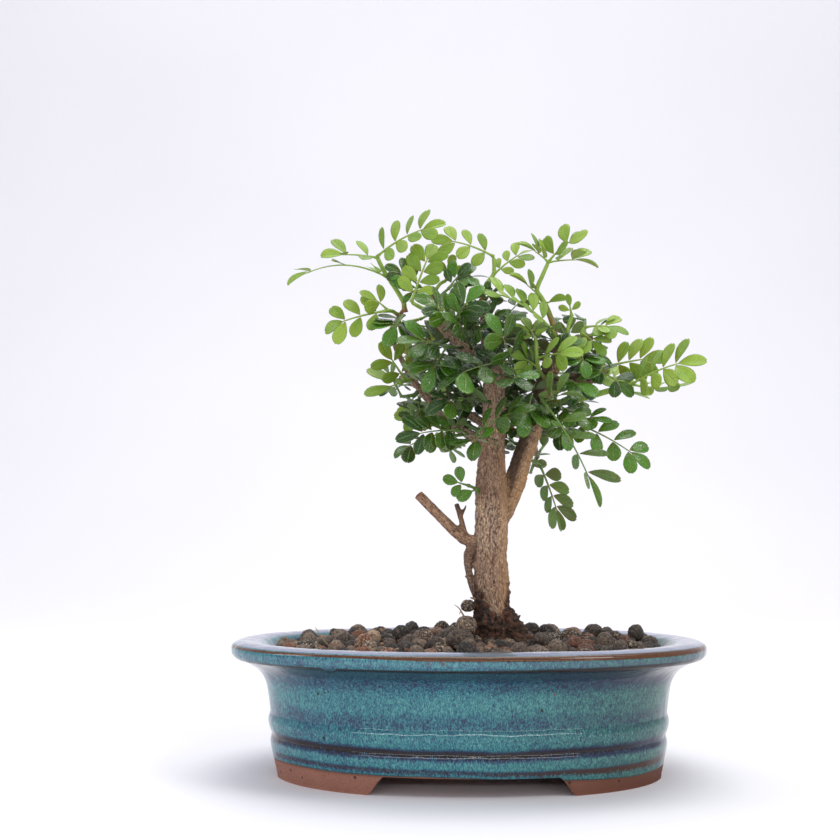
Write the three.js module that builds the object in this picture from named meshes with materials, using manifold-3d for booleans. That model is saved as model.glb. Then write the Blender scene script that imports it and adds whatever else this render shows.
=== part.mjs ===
// A Chinese pepper tree grown as a bonsai, in its oval glazed pot.
// Millimetres, +Z up. The origin lies on the table under the middle of the pot,
// X runs along the long side of the pot and +Y points to its back.

import * as THREE from 'three';
import { mergeVertices } from 'three/addons/utils/BufferGeometryUtils.js';
import Module from 'manifold-3d';

const wasm = await Module();
wasm.setup();

// Driving dimensions

const POT = {
  halfLength: 77.5,
  halfWidth: 60,
  height: 42.2,
  roundness: 2.2,
  footHeight: 5.6,
  floorTop: 10,
  footDepth: 11,
  frontGap: 30.6,
  sideGap: 15,
  gapSlant: 5,
  segments: 32,
};
const DRAIN = { offset: 27, radius: 6, sides: 14 };
const DRAIN_MESH = { side: 19, thickness: 0.8, cells: 3, bar: 1.7 };
const SOIL = { edge: 37.6, crown: 4.4, bottom: 10.3, pitch: 10.2, dome: 3.6, domeTop: 0.55, domeDrop: 0.9, wall: 12.6, bare: 10 };
const GAP = 0.3;
const LEAF = { thickness: 0.6, ribHalf: 0.45, neck: 0.5, petiole: 3.5, lengthSpread: 0.08, pairedShare: 0.6, singleShare: 0.85 };
const FILL = { seed: 20, rounds: 3, tries: 160, twigLength: 7, twigRadius: 0.55 };

// How far a face may be off when small triangles in it are merged
const SIMPLE = 0.03;

// The crown that the leaves along the branches keep to: centre and reach on each axis
const CROWN = { centre: [6, 6, 131], reach: [42, 46, 33] };

// Finishes

const finishes = {
  glaze: new THREE.MeshStandardMaterial({ color: 0x3f8f95, roughness: 0.18, metalness: 0 }),
  clay: new THREE.MeshStandardMaterial({ color: 0x4a3c34, roughness: 0.95, metalness: 0 }),
  mesh: new THREE.MeshStandardMaterial({ color: 0x20211f, roughness: 0.6, metalness: 0 }),
  bark: new THREE.MeshStandardMaterial({ color: 0x7a6250, roughness: 0.9, metalness: 0 }),
  youngLeaf: new THREE.MeshStandardMaterial({ color: 0x86a83a, roughness: 0.45, metalness: 0 }),
  oldLeaf: new THREE.MeshStandardMaterial({ color: 0x2f6322, roughness: 0.35, metalness: 0 }),
};

// Points and directions

const add = (a, b) => a.map((v, i) => v + b[i]);
const sub = (a, b) => a.map((v, i) => v - b[i]);
const times = (a, s) => a.map((v) => v * s);
const dot = (a, b) => a[0] * b[0] + a[1] * b[1] + a[2] * b[2];
const cross = (a, b) => [a[1] * b[2] - a[2] * b[1], a[2] * b[0] - a[0] * b[2], a[0] * b[1] - a[1] * b[0]];
const length = (a) => Math.sqrt(dot(a, a));
const unit = (a) => times(a, 1 / length(a));
const turned = (a, b, angle) => add(times(a, Math.cos(angle)), times(b, Math.sin(angle)));

// The part of a direction that is square to an axis
const squareTo = (axis, direction) => unit(sub(direction, times(axis, dot(axis, direction))));

// How hard a leaf tries for a clear place, what it keeps clear, and how near its root that starts
const PLACED = { tries: 60, spare: 0, near: 3.2 };
const RULED = { tries: 6, spare: 0.25, near: 2.4 };

// A seeded draw from 0 to 1, the same on every run
function draws(seed) {
  let state = seed >>> 0;
  return () => {
    state = (state + 0x6d2b79f5) >>> 0;
    let t = state;
    t = Math.imul(t ^ (t >>> 15), t | 1);
    t ^= t + Math.imul(t ^ (t >>> 7), t | 61);
    return ((t ^ (t >>> 14)) >>> 0) / 4294967296;
  };
}

// A smooth curve through a list of points, t from 0 to 1; a fourth number per point is its radius
function along(points, t) {
  const last = points.length - 1;
  const k = Math.min(Math.floor(t * last), last - 1);
  const u = t * last - k;
  const [p0, p1] = [points[Math.max(k - 1, 0)], points[k]];
  const [p2, p3] = [points[k + 1], points[Math.min(k + 2, last)]];
  return p1.map((v, i) => {
    const slope = p2[i] - p0[i];
    const curve = 2 * p0[i] - 5 * v + 4 * p2[i] - p3[i];
    const twist = 3 * v - p0[i] - 3 * p2[i] + p3[i];
    return v + 0.5 * u * (slope + u * (curve + u * twist));
  });
}

// The wood: each branch is a list of points from its root to its tip, [x, y, z, radius]

const WOOD = {
  trunk: [
    [10, 0, 33, 7], [10.5, 0, 40, 8.2], [9.5, 0, 45, 7.2], [8.5, 0, 53, 6.1], [8, 0, 63, 5.4],
    [8, 0, 73, 5.3], [8.5, 0, 82, 5.6], [8.5, 0, 91.5, 5.1], [9, 0, 103.5, 4.2],
    [9.5, 0, 115.5, 3.9], [9.5, 0, 125.5, 3.7], [10.5, 0, 132.5, 3.4], [13, 0, 136, 2.4],
  ],
  root_right: [[10, -1, 50, 4], [15, -3, 44.5, 3.8], [19, -6, 39, 2.8], [22, -8, 35, 1.6]],
  root_left: [[9, 0, 48, 4], [3.5, -2, 43, 3.2], [-0.5, -4, 38, 2.2], [-3, -5, 35, 1.4]],
  root_back: [[9, 1, 48, 4], [8, 6.5, 43, 3.2], [7, 10, 38, 2.2], [6, 12, 35, 1.4]],
  right_fork: [
    [10, 1, 79.5, 3.4], [15.5, 2, 91.5, 3.6], [19, 3, 102, 3.4], [23, 4, 112.5, 3.3],
    [26, 4, 122.5, 3.1], [28, 3, 130, 2.9], [31.5, 1, 136, 2.5], [36, 0, 140, 2.1],
    [40, -1, 142.5, 1.7], [43.5, -1, 144, 1.1],
  ],
  left_top: [
    [12.5, 0, 134.5, 2.4], [6, -2, 137.5, 2.1], [-0.5, -3, 139.5, 1.8], [-5.5, -3, 144, 1.6],
    [-9, -3, 148.5, 1.5], [-11, -2, 155, 1.4], [-12, -2, 160.5, 1.2],
  ],
  left_low: [
    [6, 0, 106.5, 1.8], [1.5, 1, 110, 1.6], [-2.5, 2, 112.5, 1.5], [-7.5, 3, 116.5, 1.4],
    [-12.5, 5, 122.5, 1.3], [-18, 6, 130, 1.1], [-22, 6, 137, 1], [-25, 5, 144, 0.9],
    [-24, 3, 150, 0.8], [-21.5, 1, 154, 0.7],
  ],
  cut_stub: [
    [5, 0, 52.5, 1.6], [2.2, 0, 58.5, 1.3], [0.6, -1, 64.5, 1.2], [0.6, -1, 69.5, 1.7],
    [2.5, -1, 73.5, 2.4], [-1.5, -1, 75.5, 2.2], [-7, -2, 80.5, 1.9], [-12, -3, 85.5, 1.9],
    [-16.5, -4, 90, 1.9],
  ],
  small_stub: [[0.5, -1, 73.5, 1.2], [-1, -1, 78.5, 1.1], [-2.5, -1, 84, 1.1], [-3.5, -1, 87, 1]],
  stub_fork: [[-2, -1, 82, 0.7], [-0.8, -1, 84.5, 0.6], [0, -1, 86.5, 0.5]],
  corky_stub: [[29, 3, 128, 1.5], [33.5, 1, 129, 1.6], [37.5, 0, 129.5, 1.8], [41.5, -1, 129.5, 1.8], [45, -1, 129.5, 1.4]],
  dry_twig: [[43.5, -1, 129.5, 0.8], [46.5, -1.5, 131, 0.6], [49.5, -2, 132, 0.5]],
  top_right: [[31, 0, 135.5, 1.5], [31, -2, 141, 1.2], [30, -3, 146.5, 1]],
  top_mid: [[9, 0, 136, 1.6], [6.5, 0, 141.5, 1.2], [6, 1, 148.5, 1], [6, 1, 157.5, 0.8]],
  back_left: [[8, 1, 113, 1.6], [-2, 14, 121, 1.4], [-14, 26, 129, 1.1], [-24, 34, 136, 0.8]],
  back_mid: [[11, 1, 131, 1.6], [10, 15, 138, 1.4], [4, 28, 146, 1.1], [-2, 38, 151, 0.8]],
  back_right: [[25, 5, 123, 1.6], [33, 17, 130, 1.4], [40, 28, 136, 1.1], [44, 38, 139, 0.8]],
  back_low: [[21, 5, 108, 1.5], [24, 18, 110, 1.3], [26, 30, 109, 1], [28, 40, 106, 0.7]],
};
const ROOTS = ['trunk', 'root_right', 'root_left', 'root_back'];

// The leafy sprays that show from the front.
// twig runs from the bark outwards, start and end radius follow; each leaf gives where it leaves the
// twig (0 to 1), its tip, its pairs of leaflets, the length of a leaflet, the way its upper face
// looks (0 is up, 90 is to the front) and how far it arches, as a share of its length.

const SPRAYS = {
  upper_left: {
    young: true,
    twig: [[-21.1, 0.7, 154.6], [-21.5, 0.4, 156.8], [-24, 0, 161], [-28, -1, 167], [-30.5, -2, 172]],
    radius: [0.7, 0.55],
    leaves: [
      { at: 0.66, tip: [-61, -6, 161], pairs: 3, size: 8, face: 15, arch: 0.16 },
      { at: 0.97, tip: [-50.5, -4, 169.5], pairs: 2, size: 8.5, face: 40, arch: 0.05 },
      { at: 1, tip: [-6.5, -8, 182], pairs: 4, size: 8.5, face: 60, arch: 0.1 },
    ],
  },
  upper_mid: {
    young: true, twig: [[-11, -4.5, 151.5], [-14.5, -7, 152.5], [-18.5, -8, 154.5]], radius: [0.6, 0.5],
    leaves: [
      { at: 1, tip: [-13, -9, 179.5], pairs: 4, size: 8.5, face: 70, arch: 0.05 },
      { at: 1, tip: [5, -14, 158], pairs: 3, size: 9, face: 30, arch: 0.2 },
    ],
  },
  stub_top: {
    young: true, twig: [[-10.2, -1, 160.5], [-8.5, 0, 163], [-6.5, 0, 164]], radius: [0.5, 0.45],
    leaves: [{ at: 1, tip: [-4, 0, 173.5], pairs: 1, size: 7, face: 80, arch: 0 }],
  },
  top_mid: {
    young: true, twig: [[6, 1, 158.2], [7.5, 1, 163], [10, 2, 167], [10, 2, 173]], radius: [0.7, 0.5],
    leaves: [
      { at: 1, tip: [-13, 0, 179.5], pairs: 3, size: 8, face: 70, arch: 0.12 },
      { at: 0.6, tip: [24, 4, 176.5], pairs: 3, size: 6.5, face: 50, arch: 0.08 },
    ],
  },
  top_right: {
    young: true,
    twig: [[30, -3, 147.2], [28, -3, 153], [26, -3, 157], [24.5, -3, 160], [26.5, -3, 165], [28.5, -3, 169.5]],
    radius: [0.8, 0.5],
    leaves: [
      { at: 1, tip: [45.5, -8, 168], pairs: 2, size: 9, face: 20, arch: 0.05 },
      { at: 1, tip: [17.5, -6, 175], pairs: 2, size: 8.5, face: 30, arch: 0.08 },
      { at: 1, tip: [42.5, 2, 180.5], pairs: 2, size: 8, face: 30, arch: 0.1 },
      { at: 0.45, tip: [15.5, -8, 165], pairs: 1, size: 9, face: 30, arch: 0 },
      { at: 0.3, tip: [34.5, -6, 156], pairs: 0, size: 8, face: 50, arch: 0 },
    ],
  },
  right_up: {
    young: true, twig: [[36, -1, 142.7], [35, -1, 146], [36.5, -1, 151]], radius: [0.6, 0.5],
    leaves: [{ at: 1, tip: [35, -3, 158.5], pairs: 1, size: 9, face: 60, arch: 0 }],
  },
  right_mid: {
    young: true, twig: [[40, -3.3, 142.5], [39.5, -4, 144.5], [40.5, -4, 146.5]], radius: [0.55, 0.5],
    leaves: [
      { at: 1, tip: [55, -8, 143.5], pairs: 3, size: 8, face: 40, arch: 0.1 },
      { at: 0.5, tip: [45, -12, 135], pairs: 2, size: 8, face: 60, arch: 0.1 },
    ],
  },
  right_high: {
    young: true, twig: [[45.8, 0.2, 132], [46.8, 0.8, 133.2], [49, 1, 134]], radius: [0.5, 0.45],
    leaves: [{ at: 1, tip: [69, -4, 136.5], pairs: 3, size: 9.5, face: 75, arch: 0.05 }],
  },
  right_long: {
    young: true, twig: [[28, 0.4, 121], [32.5, -2, 121], [38.5, -4, 122], [47, -7, 124], [55, -10, 126]], radius: [1, 0.7],
    leaves: [
      { at: 1, tip: [77, -24, 132], pairs: 4, size: 9.5, face: 60, arch: 0.08 },
      { at: 1, tip: [74, -14, 126.5], pairs: 3, size: 8, face: 30, arch: -0.1 },
      { at: 0.8, tip: [62.5, -2, 123], pairs: 1, size: 8, face: 20, arch: 0 },
    ],
  },
  right_far: {
    young: true, twig: [[29.5, 6.6, 129.5], [37, 10, 130.5], [44, 12, 131.5]], radius: [0.6, 0.5],
    leaves: [
      { at: 1, tip: [61, 16, 131.5], pairs: 3, size: 8, face: 40, arch: 0.05 },
      { at: 0.8, tip: [48.5, 12, 141.5], pairs: 1, size: 9, face: 70, arch: 0 },
    ],
  },
  right_low: {
    young: false, twig: [[26.5, 0.6, 115], [30.5, -2, 115.5], [35.5, -4, 114]], radius: [0.65, 0.5],
    leaves: [
      { at: 1, tip: [60.5, -10, 98], pairs: 4, size: 8.5, face: 55, arch: 0.08 },
      { at: 0.8, tip: [46.5, -8, 117], pairs: 2, size: 7.5, face: 50, arch: 0.05 },
    ],
  },
  front_droop: {
    young: false, twig: [[25.5, 0, 123], [24.5, -10, 121.5], [25, -18, 118.5]], radius: [0.7, 0.55],
    leaves: [
      { at: 1, tip: [40.5, -32, 84], pairs: 5, size: 11, face: 50, arch: 0.1 },
      { at: 0.9, tip: [36.5, -28, 120], pairs: 2, size: 9, face: 60, arch: 0.1 },
    ],
  },
  hang_right: {
    young: false, twig: [[20.5, 6.6, 102.5], [23.5, 9, 102], [26, 10, 100.5]], radius: [0.55, 0.5],
    leaves: [{ at: 1, tip: [33.5, 12, 78], pairs: 4, size: 8.5, face: 75, arch: 0.12 }],
  },
  trunk_left: {
    young: false, twig: [[4, -2.9, 91.5], [2.4, -4, 92], [1, -5, 92.5]], radius: [0.5, 0.45],
    leaves: [{ at: 1, tip: [-8, -8, 95], pairs: 1, size: 8.5, face: 85, arch: 0 }],
  },
  left_row: {
    young: false, twig: [[0, -1, 110.5], [-1.5, -6, 111], [-2.5, -11, 110.5]], radius: [0.6, 0.5],
    leaves: [
      { at: 1, tip: [-23.5, -18, 106.5], pairs: 4, size: 9, face: 60, arch: 0.08 },
      { at: 0.5, tip: [-25, -4, 102.5], pairs: 2, size: 7, face: 50, arch: 0.1 },
    ],
  },
  trunk_front: {
    young: false, twig: [[7, -4.1, 109], [5, -10, 108.5], [3, -14, 109]], radius: [0.6, 0.5],
    leaves: [
      { at: 1, tip: [1.5, -26, 99.5], pairs: 2, size: 9, face: 60, arch: 0.1 },
      { at: 1, tip: [19.5, -24, 114.5], pairs: 3, size: 9, face: 60, arch: 0.1 },
    ],
  },
  left_far: {
    young: true, twig: [[-13, 6.7, 123], [-14.5, 14, 125.5], [-16, 20, 126.5]], radius: [0.55, 0.45],
    leaves: [{ at: 1, tip: [-21, 24, 113.5], pairs: 3, size: 7.5, face: 80, arch: 0.03 }],
  },
  left_big: {
    young: true, twig: [[-19, 4.6, 130], [-20.5, 3, 129.5], [-22, 1, 128.5]], radius: [0.55, 0.5],
    leaves: [
      { at: 1, tip: [-34, -2, 132.5], pairs: 0, size: 11, face: 60, arch: 0 },
      { at: 1, tip: [-34.5, -4, 123], pairs: 0, size: 11, face: 60, arch: 0 },
      { at: 0.6, tip: [-29, -3, 142.5], pairs: 2, size: 8, face: 70, arch: 0.05 },
    ],
  },
  left_fan: {
    young: false, twig: [[-24.3, 2, 148.5], [-22.8, -1, 150.5], [-21, -4, 151]], radius: [0.55, 0.5],
    leaves: [
      { at: 1, tip: [-27, -12, 138.5], pairs: 4, size: 9, face: 75, arch: 0.1 },
      { at: 1, tip: [-9, -14, 142], pairs: 3, size: 9, face: 60, arch: 0.1 },
    ],
  },
  left_mid: {
    young: true, twig: [[-24, 1.3, 152.7], [-25.2, -1, 153], [-27, -4, 152.5]], radius: [0.55, 0.5],
    leaves: [
      { at: 1, tip: [-46.5, -8, 147], pairs: 3, size: 9, face: 70, arch: 0.08 },
      { at: 0.8, tip: [-36, -6, 159.5], pairs: 1, size: 8, face: 60, arch: 0.05 },
    ],
  },
  centre_upper: {
    young: false, twig: [[-7, -4.8, 145.5], [-6, -10, 145.5], [-4.5, -14, 146.5]], radius: [0.6, 0.5],
    leaves: [
      { at: 1, tip: [-17.5, -18, 154.5], pairs: 2, size: 10, face: 50, arch: 0.08 },
      { at: 1, tip: [3, -16, 157], pairs: 3, size: 9, face: 60, arch: 0.08 },
    ],
  },
  centre_left: {
    young: false, twig: [[-1.5, -5.2, 139.5], [-4, -11, 138.5], [-6.5, -14, 138]], radius: [0.6, 0.5],
    leaves: [
      { at: 1, tip: [-23.5, -20, 139], pairs: 3, size: 9.5, face: 60, arch: 0.08 },
      { at: 1, tip: [-14, -18, 122], pairs: 3, size: 9.5, face: 50, arch: 0.1 },
    ],
  },
  centre_front: {
    young: false, twig: [[12.5, -3.9, 133], [14, -10, 133], [15, -14, 132.5]], radius: [0.65, 0.55],
    leaves: [
      { at: 1, tip: [-10, -26, 121.5], pairs: 3, size: 11, face: 45, arch: 0.1 },
      { at: 1, tip: [7.5, -24, 147.5], pairs: 2, size: 10, face: 60, arch: 0.08 },
    ],
  },
  long_top: {
    young: true, twig: [[30.2, -4.5, 143.6], [29, -7, 145], [28, -9, 145.5]], radius: [0.6, 0.5],
    leaves: [{ at: 1, tip: [-1.5, -16, 155.5], pairs: 5, size: 8.5, face: 40, arch: 0.12 }],
  },
  upright: {
    young: true, twig: [[27, -0.4, 129.5], [24.5, -6, 131.5], [23.5, -9, 136], [23.5, -9, 141]], radius: [0.65, 0.5],
    leaves: [
      { at: 1, tip: [24, -11, 154], pairs: 2, size: 9.5, face: 70, arch: 0 },
      { at: 0.6, tip: [38, -18, 135.5], pairs: 2, size: 9, face: 60, arch: 0.05 },
      { at: 0.4, tip: [10, -20, 137.5], pairs: 2, size: 10, face: 60, arch: 0.05 },
    ],
  },
  centre_low: {
    young: false, twig: [[7.5, -4.2, 121], [4, -9, 121], [2.5, -12, 121]], radius: [0.6, 0.5],
    leaves: [
      { at: 1, tip: [-14, -18, 115.5], pairs: 2, size: 9.5, face: 50, arch: 0.1 },
      { at: 1, tip: [-7, -22, 129], pairs: 2, size: 9, face: 50, arch: 0.05 },
    ],
  },
  fork_front: {
    young: false, twig: [[25, 0.4, 119], [23, -6, 121], [21.5, -11, 122]], radius: [0.6, 0.5],
    leaves: [{ at: 1, tip: [18, -20, 109], pairs: 2, size: 9.5, face: 60, arch: 0.1 }],
  },
  centre_mid: {
    young: false, twig: [[9, -4.1, 128], [9.5, -9, 128.5], [10, -13, 128.5]], radius: [0.6, 0.5],
    leaves: [
      { at: 1, tip: [-7, -22, 132], pairs: 2, size: 9.5, face: 55, arch: 0.08 },
      { at: 1, tip: [26, -21, 127], pairs: 2, size: 9.5, face: 55, arch: 0.08 },
    ],
  },
  fork_mid: {
    young: false, twig: [[29, -0.7, 130], [28.5, -6, 130], [28.5, -10, 129]], radius: [0.6, 0.5],
    leaves: [{ at: 1, tip: [43, -17, 121], pairs: 2, size: 9, face: 60, arch: 0.08 }],
  },
  fork_back: {
    young: false, twig: [[19.4, 7.2, 104.7], [19, 9, 107], [18, 11, 108]], radius: [0.5, 0.45],
    leaves: [{ at: 1, tip: [11, 15, 113.5], pairs: 1, size: 9, face: 70, arch: 0 }],
  },
};

// Branches that carry further sprays by rule, with the share of each that is bare at its root

const LEAFY = {
  back_left: 0.3,
  back_mid: 0.3,
  back_right: 0.3,
  back_low: 0.3,
  right_fork: 0.5,
  left_low: 0.45,
};

// Where a leaf lies: u along its chord, w to the side and h above its face

function leafFrame(base, leaf) {
  const chord = sub(leaf.tip, base);
  const axis = unit(chord);
  const face = THREE.MathUtils.degToRad(leaf.face);
  const up = squareTo(axis, [0, -Math.sin(face), Math.cos(face)]);
  return { ...leaf, base, axis, up, side: cross(up, axis), span: length(chord) };
}

function onLeaf(leaf, u, w, h) {
  const s = u / leaf.span;
  const rise = leaf.arch * leaf.span * 4 * s * (1 - s);
  const normal = unit(sub(leaf.up, times(leaf.axis, leaf.arch * 4 * (1 - 2 * s))));
  const middle = add(add(leaf.base, times(leaf.axis, u)), times(leaf.up, rise));
  return add(add(middle, times(leaf.side, w)), times(normal, h));
}

// The leaflets of a leaf: where each leaves the rib, its slant from the rib, length, half-width and cup

function leaflets(leaf, draw) {
  const list = [];
  const size = Math.min(leaf.size, leaf.span * (leaf.pairs ? LEAF.pairedShare : LEAF.singleShare));
  const end = leaf.span - size * 0.95;
  const first = Math.min(LEAF.petiole, end * 0.45);
  const step = leaf.pairs > 1 ? (end - 0.8 - first) / (leaf.pairs - 1) : size;
  const lean = 64 + 8 * (draw() - 0.5);
  for (let k = 0; k < leaf.pairs; k += 1) {
    const u = leaf.pairs > 1 ? first + step * k : end - 1.2;
    for (const side of [-1, 1]) {
      const spread = 1 + LEAF.lengthSpread * (2 * draw() - 1);
      const long = size * (0.82 + (0.16 * (k + 1)) / (leaf.pairs + 1)) * spread;
      const slant = THREE.MathUtils.degToRad(lean - (12 * k) / leaf.pairs);
      const half = Math.min(0.29 * long, 0.45 * step * Math.sin(slant));
      list.push({ u, side, slant, long, half, cup: 0.12 + 0.3 * (draw() - 0.5) });
    }
  }
  list.push({ u: end, side: 0, slant: 0, long: size * 0.95, half: size * 0.27, cup: 0.2 * (draw() - 0.5) });
  return list;
}

// A point of a leaflet in the flat leaf: a along it from 0 to 1, b across it from -1 to 1
function onLeaflet(leaflet, a, b) {
  const [c, s] = [Math.cos(leaflet.slant), Math.sin(leaflet.slant)];
  const far = leaflet.long * a;
  const off = leaflet.half * b;
  const sign = leaflet.side || 1;
  const root = leaflet.side * LEAF.ribHalf;
  return [leaflet.u + far * c - off * s, root + sign * (far * s + off * c), leaflet.cup * far];
}

// Room in the crown: every grown piece leaves balls behind that later pieces keep clear of

const room = [];

function isClear(balls) {
  for (const ball of balls) {
    for (const other of room) {
      const reach = ball.r + other.r;
      const gap = sub(ball.p, other.p);
      if (dot(gap, gap) < reach * reach) return false;
    }
  }
  return true;
}

function leafBalls(leaf, parts, spare) {
  const balls = [];
  const ribSteps = Math.ceil(leaf.span / 2.2);
  for (let k = 1; k <= ribSteps; k += 1) {
    balls.push({ p: onLeaf(leaf, (leaf.span * k) / ribSteps, 0, 0), r: 0.95 + spare });
  }
  for (const part of parts) {
    for (const [a, b] of [[0.3, 0], [0.62, 0.45], [0.62, -0.45], [0.92, 0]]) {
      balls.push({ p: onLeaf(leaf, ...onLeaflet(part, a, b)), r: 1.05 + spare });
    }
  }
  return balls;
}

function pathBalls(points, spare) {
  const steps = Math.ceil((points.length - 1) * 6);
  return Array.from({ length: steps + 1 }, (_, k) => {
    const [x, y, z, r] = along(points, k / steps);
    return { p: [x, y, z], r: r + spare };
  });
}

// Tries a leaf, bent a little more each time, until it lies clear
function growLeaf(base, wish, seed, { tries, spare, near }) {
  const draw = draws(seed);
  for (let k = 0; k < tries; k += 1) {
    const bend = 0.35 * k;
    const shift = [draw() - 0.5, 2 * (draw() - 0.5), draw() - 0.5];
    const tip = add(wish.tip, times(shift, bend));
    const turn = wish.face + 2 * bend * (draw() - 0.5);
    const leaf = leafFrame(base, { ...wish, tip, face: turn });
    leaf.parts = leaflets(leaf, draws(seed + 7));
    const balls = leafBalls(leaf, leaf.parts, spare);
    const free = balls.filter((ball) => length(sub(ball.p, base)) > near);
    const inside = leaf.tip[0] < POT.halfLength - 0.8 && Math.min(...balls.map((ball) => ball.p[2])) > 62;
    if (inside && isClear(free)) return { leaf, balls };
  }
  return null;
}

// The whole plan of sprays: first those that show from the front, then those by rule

function twigPath(spray) {
  const [start, end] = spray.radius;
  const last = spray.twig.length - 1;
  return spray.twig.map((p, k) => [...p, start + ((end - start) * k) / last]);
}

function growSpray(name, spray, seed, care) {
  const twig = twigPath(spray);
  const twigRoom = pathBalls(twig, 0.35);
  const grown = [];
  spray.leaves.forEach((wish, k) => {
    const base = along(twig, wish.at).slice(0, 3);
    const found = growLeaf(base, wish, seed + 101 * k, care);
    if (found) {
      grown.push(found.leaf);
      room.push(...found.balls);
    }
  });
  if (grown.length) room.push(...twigRoom);
  return { name, young: spray.young, twig, leaves: grown };
}

function ruleSpray(branch, t, seed) {
  const draw = draws(seed);
  const [x, y, z, r] = along(branch, t);
  const ahead = unit(sub(along(branch, t + 0.02).slice(0, 3), [x, y, z]));
  const across = squareTo(ahead, [0.3, 0.2, 1]);
  const out = turned(across, cross(ahead, across), 6.283 * draw());
  const heading = unit(add(out, times(ahead, 0.5)));
  const start = add([x, y, z], times(out, r + GAP + 0.12));
  const elbow = add(start, times(out, 1.6));
  const end = add(elbow, times(heading, FILL.twigLength * (0.4 + 0.8 * draw())));
  const leaves = [];
  for (const at of [1, 1, 0.7]) {
    const lean = unit([draw() - 0.5, draw() - 0.5, draw() - 0.35]);
    const way = unit(add(times(heading, 0.55), lean));
    const reach = 19 + 10 * draw();
    leaves.push({
      at,
      tip: add(end, times(way, reach)),
      pairs: reach > 25 ? 3 : 2,
      size: 7.8 + 1.8 * draw(),
      face: 90 * (draw() - 0.5),
      arch: 0.12 * draw(),
    });
  }
  return { young: draw() < 0.25, twig: [start, elbow, end], radius: [FILL.twigRadius, 0.45], leaves };
}

// How far a point lies out of the middle of the crown, 1 at its edge
const crownShare = (p) => length(sub(p, CROWN.centre).map((v, i) => v / CROWN.reach[i]));

function growByRule(name, bare, round) {
  for (let k = 0; k < FILL.tries; k += 1) {
    const seed = FILL.seed * 1000 + round * 5077 + name.length * 577 + k * 13;
    const t = bare + (0.97 - bare) * draws(seed + 5)();
    const spray = ruleSpray(WOOD[name], t, seed);
    const leaves = spray.leaves.filter((leaf) => crownShare(leaf.tip) < 1);
    if (leaves.length < 2 || !isClear(pathBalls(twigPath(spray), 0.35).slice(7))) continue;
    const before = room.length;
    const grown = growSpray(`spray_${name}_${round}`, { ...spray, leaves }, seed, RULED);
    if (grown.leaves.length > 1) return grown;
    room.length = before;
  }
  return null;
}

function growPlan() {
  for (const branch of Object.values(WOOD)) room.push(...pathBalls(branch, 0.6));
  const plan = [];
  Object.entries(SPRAYS).forEach(([name, spray], k) => {
    plan.push(growSpray(`spray_${name}`, spray, 1000 + 37 * k, PLACED));
  });
  for (let round = 1; round <= FILL.rounds; round += 1) {
    for (const [name, bare] of Object.entries(LEAFY)) {
      const grown = growByRule(name, bare, round);
      if (grown) plan.push(grown);
    }
  }
  return plan;
}

// Solids

// A closed solid from a geometry whose shared corners are merged
function solid(geometry) {
  const plain = geometry.index ? geometry.toNonIndexed() : geometry;
  plain.deleteAttribute('normal');
  plain.deleteAttribute('uv');
  const merged = mergeVertices(plain, 1e-5);
  const vertProperties = new Float32Array(merged.attributes.position.array);
  const triVerts = new Uint32Array(merged.index.array);
  return new wasm.Manifold(new wasm.Mesh({ numProp: 3, vertProperties, triVerts }));
}

function solidFrom(points, faces) {
  const geometry = new THREE.BufferGeometry();
  geometry.setAttribute('position', new THREE.Float32BufferAttribute(points.flat(), 3));
  geometry.setIndex(faces.flat());
  return solid(geometry);
}

function geometryOf(body) {
  const { vertProperties, triVerts } = body.getMesh();
  const geometry = new THREE.BufferGeometry();
  geometry.setAttribute('position', new THREE.BufferAttribute(vertProperties, 3));
  geometry.setIndex(new THREE.BufferAttribute(triVerts, 1));
  return geometry;
}

const union = (bodies) => wasm.Manifold.union(bodies);

// The main piece of a body, free of slivers, with flat faces in as few triangles as they need
function whole(body) {
  const pieces = body.asOriginal().simplify(SIMPLE).decompose();
  return pieces.reduce((best, piece) => (piece.volume() > best.volume() ? piece : best));
}

// Rings of equal length joined in order, closed by a fan at each end
function stack(rings) {
  const n = rings[0].length;
  const points = rings.flat();
  const faces = [];
  for (let k = 0; k + 1 < rings.length; k += 1) {
    for (let i = 0; i < n; i += 1) {
      const [a, b] = [k * n + i, k * n + ((i + 1) % n)];
      faces.push([a, b, b + n], [a, b + n, a + n]);
    }
  }
  const centre = (ring) => times(ring.reduce(add), 1 / n);
  points.push(centre(rings[0]), centre(rings.at(-1)));
  const top = (rings.length - 1) * n;
  for (let i = 0; i < n; i += 1) {
    const j = (i + 1) % n;
    faces.push([points.length - 2, j, i], [points.length - 1, top + i, top + j]);
  }
  return solidFrom(points, faces);
}

// A tube along [x, y, z, radius] points, its section carried along without twist
function tube(points, sides, steps, extra = 0) {
  let across = null;
  const rings = [];
  for (let k = 0; k <= steps; k += 1) {
    const t = k / steps;
    const [x, y, z, r] = along(points, t);
    const back = along(points, Math.max(t - 0.01, 0)).slice(0, 3);
    const ahead = along(points, Math.min(t + 0.01, 1)).slice(0, 3);
    const axis = unit(sub(ahead, back));
    across = squareTo(axis, across ?? (Math.abs(axis[2]) > 0.9 ? [1, 0, 0] : [0, 0, 1]));
    const other = cross(axis, across);
    const middle = add([x, y, z], times(axis, extra * (Number(k === steps) - Number(k === 0))));
    rings.push(
      Array.from({ length: sides }, (_, i) => {
        const way = turned(across, other, (2 * Math.PI * i) / sides);
        return add(middle, times(way, r + extra));
      }),
    );
  }
  return stack(rings);
}

// The pot

// One ring of the oval: a superellipse inset from the rim by the same amount all round
function oval(z, inset) {
  return Array.from({ length: POT.segments }, (_, i) => {
    const angle = (2 * Math.PI * i) / POT.segments;
    const [c, s] = [Math.cos(angle), Math.sin(angle)];
    const x = (POT.halfLength - inset) * Math.sign(c) * Math.abs(c) ** (2 / POT.roundness);
    const y = (POT.halfWidth - inset) * Math.sign(s) * Math.abs(s) ** (2 / POT.roundness);
    return [x, y, z];
  });
}

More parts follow.
